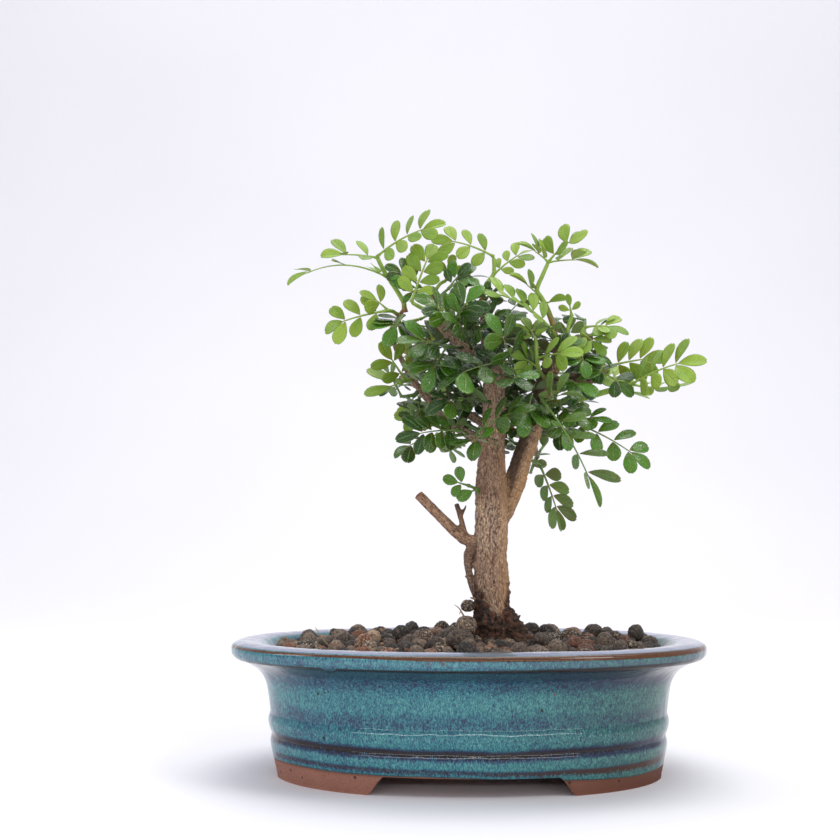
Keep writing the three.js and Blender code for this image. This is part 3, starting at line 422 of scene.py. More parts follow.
def along(points, t):
    """A smooth curve through points, t from 0 to 1: a cubic between each two, its slopes taken from
    their neighbours. Any further numbers of a point, such as its radius, are carried the same way."""
    points = np.asarray(points, float)
    last = len(points) - 1
    t = np.asarray(t, float)
    k = np.minimum((t * last).astype(int), last - 1)
    u = (t * last - k)[..., None]
    p0, p1 = points[np.maximum(k - 1, 0)], points[k]
    p2, p3 = points[k + 1], points[np.minimum(k + 2, last)]
    slope = p2 - p0
    curve = 2 * p0 - 5 * p1 + 4 * p2 - p3
    twist = 3 * p1 - p0 - 3 * p2 + p3
    return p1 + 0.5 * u * (slope + u * (curve + u * twist))


def headings(points, t):
    """The way a smooth curve runs at each t, from just before it to just after, made one long."""
    ahead = along(points, np.minimum(t + 0.01, 1))[:, :3] - along(points, np.maximum(t - 0.01, 0))[:, :3]
    return ahead / np.linalg.norm(ahead, axis=1, keepdims=True)


def noise(points, seed=0):
    """Smooth noise from -1 to 1: a hashed value at each corner of a unit cube, blended by eased weights."""
    cell = np.floor(points).astype(np.int64)
    part = points - cell
    part = part * part * (3 - 2 * part)
    total = np.zeros(points.shape[:-1])
    for corner in np.ndindex(2, 2, 2):
        at = cell + corner
        bits = at[..., 0] * 374761393 + at[..., 1] * 668265263 + at[..., 2] * 974634777 + seed * 144269
        bits = (bits ^ (bits >> 13)) * 1274126177 & 0x7FFFFFFF
        bits = (bits ^ (bits >> 16)) & 0xFFFF
        weight = np.prod(np.where(corner, part, 1 - part), axis=-1)
        total += weight * (bits / 32767.5 - 1)
    return total


def layered(points, seed, layers):
    """Noise summed over layers, each twice as fine and half as strong as the one before."""
    return sum(noise(points * 2**k, seed + k) / 2**k for k in range(layers))


def eased(value, low, high):
    """0 below low, 1 above high and a smooth step between."""
    part = np.clip((value - low) / (high - low), 0, 1)
    return part * part * (3 - 2 * part)


# The plan of the leaves, by the same rules as the solids


def leaf_frame(base, leaf):
    """Places a leaf: its chord from base to tip, its upper face turned towards the front by face
    degrees, and its side square to both."""
    _, tip, pairs, size, face, arch = leaf
    chord = np.asarray(tip, float) - base
    axis = unit(chord)
    lean = math.radians(face)
    up = square_to(axis, np.array([0, -math.sin(lean), math.cos(lean)]))
    return {
        "base": base, "tip": np.asarray(tip, float), "axis": axis, "up": up, "side": np.cross(up, axis),
        "span": np.linalg.norm(chord), "pairs": pairs, "size": size, "arch": arch,
    }


def on_leaf(leaf, u, w, h):
    """A point u along the chord, w to the side and h above the face; the chord rises by four times
    the arch times s times one less s, where s is the share of the chord passed."""
    u, w, h = (np.asarray(v, float)[..., None] for v in np.broadcast_arrays(u, w, h))
    s = u / leaf["span"]
    rise = leaf["arch"] * leaf["span"] * 4 * s * (1 - s)
    normal = leaf["up"] - leaf["arch"] * 4 * (1 - 2 * s) * leaf["axis"]
    normal = normal / np.linalg.norm(normal, axis=-1, keepdims=True)
    return leaf["base"] + leaf["axis"] * u + leaf["up"] * rise + leaf["side"] * w + normal * h


def leaflets(leaf, draw):
    """Pairs of leaflets spread evenly along the rib and one at its end. Columns: place along the rib,
    side, slant, length, half width and how fast it rises from the face of the leaf."""
    size = min(leaf["size"], leaf["span"] * (LEAF["paired"] if leaf["pairs"] else LEAF["single"]))
    end = leaf["span"] - size * 0.95
    first = min(LEAF["petiole"], end * 0.45)
    pairs = leaf["pairs"]
    step = (end - 0.8 - first) / (pairs - 1) if pairs > 1 else size
    lean = 64 + 8 * (draw() - 0.5)
    rows = []
    for k in range(pairs):
        u = first + step * k if pairs > 1 else end - 1.2
        for side in (-1, 1):
            spread = 1 + LEAF["spread"] * (2 * draw() - 1)
            long = size * (0.82 + (0.16 * (k + 1)) / (pairs + 1)) * spread
            slant = math.radians(lean - (12 * k) / pairs)
            half = min(0.29 * long, 0.45 * step * math.sin(slant))
            rows.append((u, side, slant, long, half, 0.12 + 0.3 * (draw() - 0.5)))
    rows.append((end, 0, 0, size * 0.95, size * 0.27, 0.2 * (draw() - 0.5)))
    return np.array(rows, float)


def on_leaflet(parts, a, b, far=None):
    """A point of each leaflet in the flat leaf, a along it from 0 to 1 and b across it from -1 to 1.
    The first axis of a and b runs over the leaflets."""
    shape = (-1,) + (1,) * (np.ndim(a) - 1)
    u, side, slant, long, half, cup = (column.reshape(shape) for column in parts.T)
    far = long * a if far is None else far
    off = half * b
    sign = np.where(side == 0, 1, side)
    across = side * LEAF["rib"] + sign * (far * np.sin(slant) + off * np.cos(slant))
    return u + far * np.cos(slant) - off * np.sin(slant), across, cup * far


class Room:
    """The balls that grown pieces leave behind, x, y, z and radius, which later ones keep clear of."""

    def __init__(self):
        self.balls = np.zeros((0, 4))

    def add(self, balls):
        """Keeps further balls."""
        self.balls = np.concatenate([self.balls, balls])

    def is_clear(self, balls):
        """Whether no ball reaches another: their distance is compared with the sum of their radii."""
        if not len(balls):
            return True
        low, high = balls[:, :3].min(0), balls[:, :3].max(0)
        reach = self.balls[:, 3:] + BALLS["widest"]
        near = np.all(np.abs(self.balls[:, :3] - (low + high) / 2) < (high - low) / 2 + reach, axis=1)
        others = self.balls[near]
        gap = balls[:, None, :3] - others[None, :, :3]
        limit = balls[:, None, 3] + others[None, :, 3]
        return not np.any((gap * gap).sum(-1) < limit * limit)


def leaf_balls(leaf, spare):
    """Balls along the rib and over each leaflet."""
    count = math.ceil(leaf["span"] / BALLS["spacing"])
    rib = on_leaf(leaf, leaf["span"] * np.arange(1, count + 1) / count, 0, 0)
    a, b = np.array([[0.3, 0.62, 0.62, 0.92]]), np.array([[0, 0.45, -0.45, 0]])
    blades = on_leaf(leaf, *on_leaflet(leaf["parts"], a, b)).reshape(-1, 3)
    points = np.concatenate([rib, blades])
    radii = np.where(np.arange(len(points)) < len(rib), BALLS["rib"], BALLS["blade"]) + spare
    return np.column_stack([points, radii])


def path_balls(points, spare):
    """Six balls for each stretch of a path, each a little wider than it."""
    steps = math.ceil((len(points) - 1) * 6)
    balls = along(points, np.arange(steps + 1) / steps)
    balls[:, 3] += spare
    return balls


def twig_path(spray):
    """The points of a twig with its radius, which changes evenly from start to end."""
    points = np.array(spray["twig"], float)
    start, end = spray["radius"]
    share = np.arange(len(points)) / (len(points) - 1)
    return np.column_stack([points, start + (end - start) * share])


def free_balls(spray, spare):
    """The balls of a twig, but for those at its root, which stand in the branch."""
    return path_balls(twig_path(spray), spare)[7:]


def inwards(points, crown):
    """1 at the middle of a crown, 0 at its surface and less outside."""
    centre, reach = (np.array(part, float) for part in crown)
    return 1 - np.linalg.norm((points - centre) / reach, axis=-1)


def grow_leaf(room, base, wish, seed, care):
    """Tries a leaf, its tip and turn moved a little more each time, until it lies clear."""
    draw = draws(seed)
    at, tip, pairs, size, face, arch = wish
    for k in range(care["tries"]):
        bend = 0.35 * k
        shift = [draw() - 0.5, 2 * (draw() - 0.5), draw() - 0.5]
        moved = np.asarray(tip, float) + np.array(shift) * bend
        turn = face + 2 * bend * (draw() - 0.5)
        leaf = leaf_frame(base, (at, moved, pairs, size, turn, arch))
        leaf["parts"] = leaflets(leaf, draws(seed + 7))
        balls = leaf_balls(leaf, care["spare"])
        free = balls[np.linalg.norm(balls[:, :3] - base, axis=1) > care["near"]]
        inside = moved[0] < POT_HALF[0] - SIDE_ROOM and balls[:, 2].min() > LOWEST_LEAF
        if inside and room.is_clear(free):
            return leaf, balls
    return None


def grow_spray(room, name, spray, seed, care):
    """A twig and the leaves that find room on it."""
    twig = twig_path(spray)
    grown = []
    for k, wish in enumerate(spray["leaves"]):
        found = grow_leaf(room, along(twig, wish[0])[:3], wish, seed + 101 * k, care)
        if found:
            grown.append(found[0])
            room.add(found[1])
    if grown:
        room.add(path_balls(twig, BALLS["twig"]))
    return {"name": name, "young": spray["young"], "twig": twig, "leaves": grown}


def rule_spray(branch, t, seed, scale=1.0):
    """A short twig square to a branch, its elbow turned along it, with three leaves fanned from it."""
    draw = draws(seed)
    here = along(branch, t)
    point, radius = here[:3], here[3]
    ahead = unit(along(branch, t + 0.02)[:3] - point)
    across = square_to(ahead, np.array([0.3, 0.2, 1]))
    turn = 6.283 * draw()
    out = across * math.cos(turn) + np.cross(ahead, across) * math.sin(turn)
    heading = unit(out + ahead * 0.5)
    start = point + out * (radius + GAP + 0.12)
    elbow = start + out * 1.6
    end = elbow + heading * (FILL["twig"] * (0.4 + 0.8 * draw()))
    leaves = []
    for at in (1, 1, 0.7):
        lean = unit(np.array([draw() - 0.5, draw() - 0.5, draw() - 0.35]))
        way = unit(heading * 0.55 + lean)
        reach = scale * (19 + 10 * draw())
        size = scale * (7.8 + 1.8 * draw())
        face = 90 * (draw() - 0.5)
        pairs = 3 if reach > 25 * scale else 2
        leaves.append((at, end + way * reach, pairs, size, face, 0.12 * draw()))
    young = draw() < 0.25
    return {"young": young, "twig": [start, elbow, end], "radius": (FILL["radius"], 0.45), "leaves": leaves}


def grow_by_rule(room, name, bare, order):
    """Sprays on one branch at drawn places, until one has room for two leaves or more."""
    for k in range(FILL["tries"]):
        seed = FILL["seed"] * 1000 + order * 5077 + len(name) * 577 + k * 13
        t = bare + (0.97 - bare) * draws(seed + 5)()
        spray = rule_spray(WOOD[name], t, seed)
        spray["leaves"] = [leaf for leaf in spray["leaves"] if inwards(leaf[1], CROWN) > 0]
        if len(spray["leaves"]) < 2 or not room.is_clear(free_balls(spray, BALLS["twig"])):
            continue
        before = room.balls
        grown = grow_spray(room, f"spray_{name}_{order}", spray, seed, RULED)
        if len(grown["leaves"]) > 1:
            return grown
        room.balls = before
    return None


def in_clearing(leaf):
    """Whether a leaf's tip hangs where the crown is open: X, height and how far forward count."""
    x, y, z = leaf[1]
    for (left, right), (low, high), back in CLEARINGS:
        if left < x < right and low < z < high and y < back:
            return True
    return False


def grow_gap_shoots(room):
    """The shoots that were placed one by one, with less care for what they touch."""
    grown = []
    for index, (name, twig, leaves) in enumerate(GAP_SHOOTS):
        spray = {"young": False, "radius": (0.5, 0.4), "twig": twig, "leaves": leaves}
        grown.append(grow_spray(room, name, spray, 4000 + 41 * index, GAP_CARE))
    return [spray for spray in grown if spray["leaves"]]


def grow_thicket(room):
    """Short dark shoots that fill the crown from within, each given with the branch it stands on."""
    grown = []
    for index, (name, count, low, high) in enumerate(THICKET):
        drawn = np.random.default_rng(900 + index)
        left = count
        for k in range(count * 12):
            t = low + (high - low) * drawn.random()
            spray = rule_spray(WOOD[name], t, 70000 + 977 * index + 13 * k, SHOOTS["scale"])
            wishes = [leaf for leaf in spray["leaves"] if inwards(leaf[1], SHOOT_CROWN) > 0]
            spray["leaves"] = [leaf for leaf in wishes if not in_clearing(leaf)]
            if len(spray["leaves"]) < 2 or not room.is_clear(free_balls(spray, SHOOTS["twig"])):
                continue
            found = grow_spray(room, name, spray, 31 * k + index, SHOOTS)
            if found["leaves"]:
                grown.append(found)
                left -= 1
            if left == 0:
                break
    return grown


def grow_plan(room):
    """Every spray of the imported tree: those seen from the front one by one, then those by rule."""
    for branch in WOOD.values():
        room.add(path_balls(branch, BALLS["wood"]))
    plan = []
    for k, (name, (young, radius, twig, leaves)) in enumerate(SPRAYS.items()):
        spray = {"young": young, "radius": radius, "twig": twig, "leaves": leaves}
        plan.append(grow_spray(room, f"spray_{name}", spray, 1000 + 37 * k, PLACED))
    for order in range(1, FILL["rounds"] + 1):
        for name, bare in LEAFY.items():
            grown = grow_by_rule(room, name, bare, order)
            if grown:
                plan.append(grown)
    return plan


# Meshes


class Shape:
    """Points in millimetres, the faces between them and a value for each point, gathered part by part."""

    def __init__(self):
        self.points = []
        self.corners = []
        self.sizes = []
        self.values = {}
        self.count = 0

    def add(self, points, faces, **values):
        """Adds points and groups of faces, each group an array with one row of corners for a face."""
        points = points.reshape(-1, 3)
        self.points.append(points)
        for group in faces:
            self.corners.append(group.ravel() + self.count)
            self.sizes.append(np.full(len(group), group.shape[1]))
        for name, value in values.items():
            width = np.shape(value)[1:]
            self.values.setdefault(name, []).append(np.broadcast_to(value, (len(points), *width)))
        self.count += len(points)

    def mesh(self, name):
        """The mesh in metres, smooth, its values kept as attributes of its points."""
        points = np.concatenate(self.points) * MM
        corners = np.concatenate(self.corners)
        sizes = np.concatenate(self.sizes)
        mesh = bpy.data.meshes.new(name)
        mesh.vertices.add(len(points))
        mesh.vertices.foreach_set("co", points.ravel())
        mesh.loops.add(len(corners))
        mesh.loops.foreach_set("vertex_index", corners.astype(np.int32))
        mesh.polygons.add(len(sizes))
        mesh.polygons.foreach_set("loop_start", (np.cumsum(sizes) - sizes).astype(np.int32))
        mesh.update(calc_edges=True)
        mesh.validate()
        mesh.shade_smooth()
        for key, parts in self.values.items():
            set_value(mesh, key, np.concatenate(parts))
        return mesh


def set_value(mesh, name, value):
    """Stores one number, or three, for each point of a mesh."""
    kind, field = ("FLOAT", "value") if value.ndim == 1 else ("FLOAT_VECTOR", "vector")
    attribute = mesh.attributes.new(name, kind, "POINT")
    attribute.data.foreach_set(field, value.astype(np.float32).ravel())


def closed_rings(tubes, rings, sides):
    """Faces of closed tubes: between rings that run around their axis as a right hand turns, and over
    the first and the last ring of each."""
    ring = np.arange(rings - 1)[:, None] * sides
    side = np.arange(sides)[None]
    after = (side + 1) % sides
    beyond = ring + sides
    wall = np.stack([ring + side, ring + after, beyond + after, beyond + side], -1).reshape(-1, 4)
    first = np.arange(sides)[::-1][None]
    last = np.arange(sides)[None] + (rings - 1) * sides
    start = (np.arange(tubes) * rings * sides)[:, None, None]
    return [(group[None] + start).reshape(-1, group.shape[1]) for group in (wall, first, last)]


def tube_rings(points, rings, sides, tip=0.45):
    """Rings along a smooth curve through points with radii. Each ring is square to the curve, its
    first spoke is the spoke before it made square again, and the radius closes in at the far end."""
    t = np.linspace(0, 1, rings)
    here = along(points, t)
    axes = headings(points, t)
    spoke = np.array([1.0, 0, 0]) if abs(axes[0, 2]) > 0.9 else np.array([0, 0, 1.0])
    spokes = []
    for axis in axes:
        spoke = square_to(axis, spoke)
        spokes.append(spoke)
    spokes = np.array(spokes)
    others = np.cross(axes, spokes)
    radius = here[:, 3].copy()
    radius[-1] *= tip
    angle = 2 * np.pi * np.arange(sides) / sides
    way = spokes[:, None] * np.cos(angle)[None, :, None] + others[:, None] * np.sin(angle)[None, :, None]
    return here[:, None, :3] + way * radius[:, None, None]


def new_object(name, data):
    """A new object that stands in the scene."""
    item = bpy.data.objects.new(name, data)
    bpy.context.scene.collection.objects.link(item)
    return item


def add_piece(name, mesh, material, nodes):
    """Puts a mesh in the scene as the piece that stands for CAD nodes."""
    piece = new_object(name, mesh)
    mesh.materials.append(material)
    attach(piece, "root")
    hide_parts(*nodes)
    return piece


def applied(mesh, name, *modifiers):
    """The mesh after modifiers, each given as its kind and its settings."""
    helper = new_object(name, mesh)
    for kind, settings in modifiers:
        modifier = helper.modifiers.new(kind.title(), kind)
        for key, value in settings.items():
            setattr(modifier, key, value)
    depsgraph = bpy.context.evaluated_depsgraph_get()
    result = bpy.data.meshes.new_from_object(helper.evaluated_get(depsgraph))
    bpy.data.objects.remove(helper)
    return result


def points_of(mesh):
    """The points of a mesh in millimetres."""
    flat = np.empty(len(mesh.vertices) * 3)
    mesh.vertices.foreach_get("co", flat)
    return flat.reshape(-1, 3) / MM


def normals_of(mesh):
    """The normal at each point of a mesh."""
    flat = np.empty(len(mesh.vertices) * 3)
    mesh.vertex_normals.foreach_get("vector", flat)
    return flat.reshape(-1, 3)


# Shader nodes


def paint(red, green, blue):
    """A display colour, each part from 0 to 255, as the linear colour that a shader takes."""
    parts = np.array([red, green, blue]) / 255
    return tuple(np.where(parts > 0.04045, ((parts + 0.055) / 1.055) ** 2.4, parts / 12.92))


class Field:
    """A value that varies over a surface, read from a node. Signs of arithmetic add further nodes."""

    def __init__(self, tree, socket):
        self.tree = tree
        self.socket = socket

    def __add__(self, other):
        return self.tree.math("ADD", self, other)

    def __sub__(self, other):
        return self.tree.math("SUBTRACT", self, other)

    def __rsub__(self, other):
        return self.tree.math("SUBTRACT", other, self)

    def __mul__(self, other):
        return self.tree.math("MULTIPLY", self, other)

    def __abs__(self):
        return self.tree.math("ABSOLUTE", self)

    __radd__ = __add__
    __rmul__ = __mul__

    def step(self, low, high):
        """0 at low, 1 at high and smooth between; low may be the greater."""
        inputs = {"Value": self, "From Min": low, "From Max": high}
        return self.tree.field("ShaderNodeMapRange", "Result", inputs, interpolation_type="SMOOTHSTEP")

    def band(self, centre, half, soft):
        """1 within half of a centre, falling to 0 over soft."""
        return abs(self - centre).step(half + soft, half)


class Tree:
    """Adds nodes to the tree of a material or a group, and links or sets their inputs."""

    def __init__(self, tree):
        self.tree = tree

    def node(self, kind, inputs=None, **settings):
        """A new node, its settings made before its inputs are fed."""
        node = self.tree.nodes.new(kind)
        for key, value in settings.items():
            setattr(node, key, value)
        for key, value in (inputs or {}).items():
            self.feed(node.inputs[key], value)
        return node

    def field(self, kind, output, inputs=None, **settings):
        """One output of a new node."""
        return Field(self, self.node(kind, inputs, **settings).outputs[output])

    def feed(self, socket, value):
        """Links a field to an input, or sets the input to a number or a colour."""
        if isinstance(value, Field):
            self.tree.links.new(value.socket, socket)
        elif socket.type == "RGBA" and len(value) == 3:
            socket.default_value = (*value, 1)
        else:
            socket.default_value = value

    def math(self, operation, a, b=0.0):
        return self.field("ShaderNodeMath", 0, {0: a, 1: b}, operation=operation)

    def most(self, a, b):
        """The greater of two."""
        return self.math("MAXIMUM", a, b)

    def mix(self, share, a, b):
        """Colour a, with b over it by a share."""
        return self.field("ShaderNodeMix", 2, {0: share, 6: a, 7: b}, data_type="RGBA")

    def coats(self, colour, *coats):
        """A colour with others laid over it in turn, each given after the share that it covers."""
        for share, over in coats:
            colour = self.mix(share, colour, over)
        return colour

    def scaled(self, vector, x, y, z):
        return self.field("ShaderNodeVectorMath", 0, {0: vector, 1: (x, y, z)}, operation="MULTIPLY")

    def grain(self, vector, size, detail=2.0, rough=0.5):
        """Noise from 0 to 1 whose spots are about size wide."""
        inputs = {"Vector": vector, "Scale": 1 / size, "Detail": detail, "Roughness": rough}
        return self.field("ShaderNodeTexNoise", "Fac", inputs)

    def place(self):
        """Object coordinates in millimetres, and their X, Y and Z."""
        vector = self.scaled(self.field("ShaderNodeTexCoord", "Object"), 1 / MM, 1 / MM, 1 / MM)
        parts = self.node("ShaderNodeSeparateXYZ", {0: vector})
        return vector, *(Field(self, part) for part in parts.outputs)

    def value(self, name):
        """A number that the mesh keeps for its points."""
        return self.field("ShaderNodeAttribute", "Fac", attribute_name=name)

    def vector(self, name):
        """Three numbers that the mesh keeps for its points."""
        return self.field("ShaderNodeAttribute", "Vector", attribute_name=name)

    def group(self, group, **inputs):
        """The outputs of a node group, its inputs given by keywords in small letters."""
        fed = {key.title(): value for key, value in inputs.items()}
        node = self.node("ShaderNodeGroup", fed, node_tree=group)
        return {output.name: Field(self, output) for output in node.outputs}


def new_material(name):
    """A material and the tree of its nodes, empty but for a Principled shader and the output."""
    material = bpy.data.materials.new(name)
    material.use_nodes = True
    return material, Tree(material.node_tree)


def finish_material(material, tree, colour, roughness, height=None, depth=0.1, **constants):
    """Feeds the shader; height is a bump in units of depth, in millimetres."""
    shader = material.node_tree.nodes["Principled BSDF"]
    tree.feed(shader.inputs["Base Color"], colour)
    tree.feed(shader.inputs["Roughness"], roughness)
    for key, value in constants.items():
        shader.inputs[key.replace("_", " ").title().replace("Ior", "IOR")].default_value = value
    if height is not None:
        inputs = {"Height": height, "Distance": depth * MM, "Strength": 1.0}
        tree.feed(shader.inputs["Normal"], tree.field("ShaderNodeBump", "Normal", inputs))
    material.diffuse_color = (0.5, 0.5, 0.5, 1)
    return material


def new_group(name, inputs, outputs):
    """An empty node group with inputs, each with its kind and default, and outputs that are numbers."""
    group = bpy.data.node_groups.new(name, "ShaderNodeTree")
    for key, (kind, default) in inputs.items():
        socket = group.interface.new_socket(key, in_out="INPUT", socket_type=f"NodeSocket{kind}")
        if default is not None:
            socket.default_value = default
    for key in outputs:
        group.interface.new_socket(key, in_out="OUTPUT", socket_type="NodeSocketFloat")
    tree = Tree(group)
    into = {key: Field(tree, socket) for key, socket in tree.node("NodeGroupInput").outputs.items()}
    out = tree.node("NodeGroupOutput").inputs
    return group, tree, into, out


def specks_group():
    """Small round spots: a Voronoi cell is spotted where its point lies near and its own draw is high."""
    name = "small_specks"
    if name in bpy.data.node_groups:
        return bpy.data.node_groups[name]
    inputs = {"Vector": ("Vector", None), "Size": ("Float", 1.0), "Share": ("Float", 0.2)}
    inputs |= {"Radius": ("Float", 0.22), "Soft": ("Float", 0.1)}
    group, tree, into, out = new_group(name, inputs, ["Mask"])
    scale = tree.math("DIVIDE", 1.0, into["Size"])
    cells = tree.node("ShaderNodeTexVoronoi", {"Vector": into["Vector"], "Scale": scale}).outputs
    drawn = tree.field("ShaderNodeSeparateColor", 0, {0: Field(tree, cells["Color"])})
    chosen = tree.math("LESS_THAN", drawn, into["Share"])
    near = Field(tree, cells["Distance"]).step(into["Radius"] + into["Soft"], into["Radius"])
    tree.feed(out["Mask"], chosen * near)
    return group


# The pot

POT_SIDES = 256
SHARP_ANGLE = 50
HOLE_SIDES = 48

# How far the thrown wall wavers
UNEVEN = 0.12

# Height and inset of the pot's skin: from the middle of its underside, round a foot, up the outside
# with its groove, bead and rolled lip, over the rim, down the inside and over the floor
POT_SKIN = [
    (5.6, 57), (5.6, 40), (5.6, 27), (5.4, 26), (0.3, 25.5), (0, 25), (0, 15.6), (0.3, 15), (2.8, 14.4),
    (5.6, 13.95), (9.4, 13.1), (11.2, 13.1), (12.4, 13.4), (13.2, 13.3), (14.8, 12.65), (16.8, 12.2),
    (18.4, 12.4), (19.4, 12.7), (20.6, 12.65), (25, 12), (29.5, 11), (33, 8.8), (35.2, 5.4), (36.4, 2.8),
    (37, 1.2), (38.4, 0.1), (40.2, 0), (41.1, 0.5), (41.7, 1.5), (42.1, 3), (42.2, 4.8), (42, 7.6),
    (41.4, 9.8), (40.6, 11), (39, 12.1), (37, 12.8), (33, 13.6), (24, 16.6), (13, 17.3), (10.6, 18),
    (10, 19.6), (10, 40), (10, 57),
]


def ovals(insets, sides):
    """One ring for each inset: a superellipse whose half axes are the pot's less the inset, its points
    spread evenly along its length."""
    fine = np.linspace(0, 2 * np.pi, 1441)
    share = 2 / POT_ROUNDNESS
    cos, sin = np.cos(fine), np.sin(fine)
    plan = np.stack([np.sign(cos) * np.abs(cos) ** share, np.sign(sin) * np.abs(sin) ** share], -1)
    rings = []
    for inset in insets:
        curve = plan * (np.array(POT_HALF) - inset)
        length = np.concatenate([[0], np.cumsum(np.linalg.norm(np.diff(curve, axis=0), axis=1))])
        want = length[-1] * np.arange(sides) / sides
        rings.append(np.stack([np.interp(want, length, curve[:, k]) for k in range(2)], -1))
    return np.array(rings)


def inset_of(points):
    """How far inside the plan of the lip each point lies, found by halving an interval."""
    low, high = np.zeros(len(points)), np.full(len(points), POT_HALF[1] - 1.0)
    for _ in range(24):
        middle = (low + high) / 2
        halves = np.array(POT_HALF)[None] - middle[:, None]
        outside = (np.abs(points[:, :2] / halves) ** POT_ROUNDNESS).sum(1) > 1
        high = np.where(outside, middle, high)
        low = np.where(outside, low, middle)
    return (low + high) / 2


def foot_gap(points):
    """1 over the arches between the feet and 0 over the feet, with leaning ends."""
    front = 1 - eased(np.abs(points[..., 0]), FRONT_ARCH - ARCH_LEAN / 2, FRONT_ARCH + ARCH_LEAN / 2)
    side = 1 - eased(np.abs(points[..., 1]), SIDE_ARCH - ARCH_LEAN / 2, SIDE_ARCH + ARCH_LEAN / 2)
    return np.maximum(front, side)


def pot_mesh():
    """The pot as rings of the oval that follow its skin, lifted over the arches between its feet."""
    skin = np.array(POT_SKIN)
    t = np.linspace(0, 1, 3 * (len(skin) - 1) + 1)
    fine = np.clip(along(skin, t), (0, 0), (POT_HEIGHT, 57))
    plan = ovals(fine[:, 1], POT_SIDES)
    points = np.concatenate([plan, np.broadcast_to(fine[:, :1, None], (*plan.shape[:2], 1))], -1)
    points[..., 2] = np.maximum(points[..., 2], FOOT_HEIGHT * foot_gap(points))
    points[..., 2] += UNEVEN * noise(points * 0.09, 5) * eased(points[..., 2], 8, 20)
    shape = Shape()
    shape.add(points, closed_rings(1, len(fine), POT_SIDES))
    return shape.mesh("pot_skin")


def hole_mesh():
    """A round plug for each drain hole."""
    shape = Shape()
    angle = 2 * np.pi * np.arange(HOLE_SIDES) / HOLE_SIDES
    circle = np.stack([np.cos(angle), np.sin(angle)], -1) * DRAIN_RADIUS
    for middle in (-DRAIN_OFFSET, DRAIN_OFFSET):
        ends = (-2, FLOOR_TOP + 4)
        rings = [np.column_stack([circle + (middle, 0), np.full(HOLE_SIDES, z)]) for z in ends]
        shape.add(np.array(rings), closed_rings(1, 2, HOLE_SIDES))
    return shape.mesh("drain_plugs")


def build_pot(looks):
    """The glazed pot with its two drain holes."""
    plugs = new_object("drain_plugs", hole_mesh())
    cut = {"operation": "DIFFERENCE", "object": plugs, "solver": "EXACT"}
    mesh = applied(pot_mesh(), "pot_cut", ("BOOLEAN", cut))
    bpy.data.objects.remove(plugs)
    mesh.shade_smooth()
    mesh.set_sharp_from_angle(angle=math.radians(SHARP_ANGLE))
    set_value(mesh, "inset", inset_of(points_of(mesh)))
    mesh.materials.clear()
    add_piece("pot_glazed", mesh, glaze_material(looks), ["pot"])


# Marks fired into the front of the glaze: X and Z of the middle and the radius
PITS = ((-45.5, 28.5, 0.3), (-43.3, 29, 0.22), (-43.6, 15.6, 0.4), (20.3, 24.9, 0.35))
RUST_DOTS = ((-12.5, 39.4, 0.3), (-8.3, 39.4, 0.4), (24, 29.5, 0.3))

# X of the drip under the lip, and heights of the glaze's lines and of the bare clay's edge
DRIP_AT = -41.1
LIP_LINE = 36.9
BEAD_LINE = 12.35
LOW_LINE = 7.3
RIM_EDGE = 40.7
BARE_TOP = 5.7

# Heights where the glaze ran deep: the middle, half the width, the soft edge and how deep
POOLS = ((33.8, 1.2, 5, 0.8), (21.2, 0.5, 3.2, 0.6), (37.2, 0.3, 1.2, 0.4))


def marks_mask(tree, vector, front, marks, soft):
    """Round marks on the front, each 1 within its radius and 0 beyond a soft edge."""
    flat = tree.scaled(vector, 1, 0, 1)
    mask = 0.0
    for x, z, radius in marks:
        away = tree.field("ShaderNodeVectorMath", "Value", {0: flat, 1: (x, 0, z)}, operation="DISTANCE")
        mask = tree.most(mask, away.step(radius + soft, radius))
    return mask * front


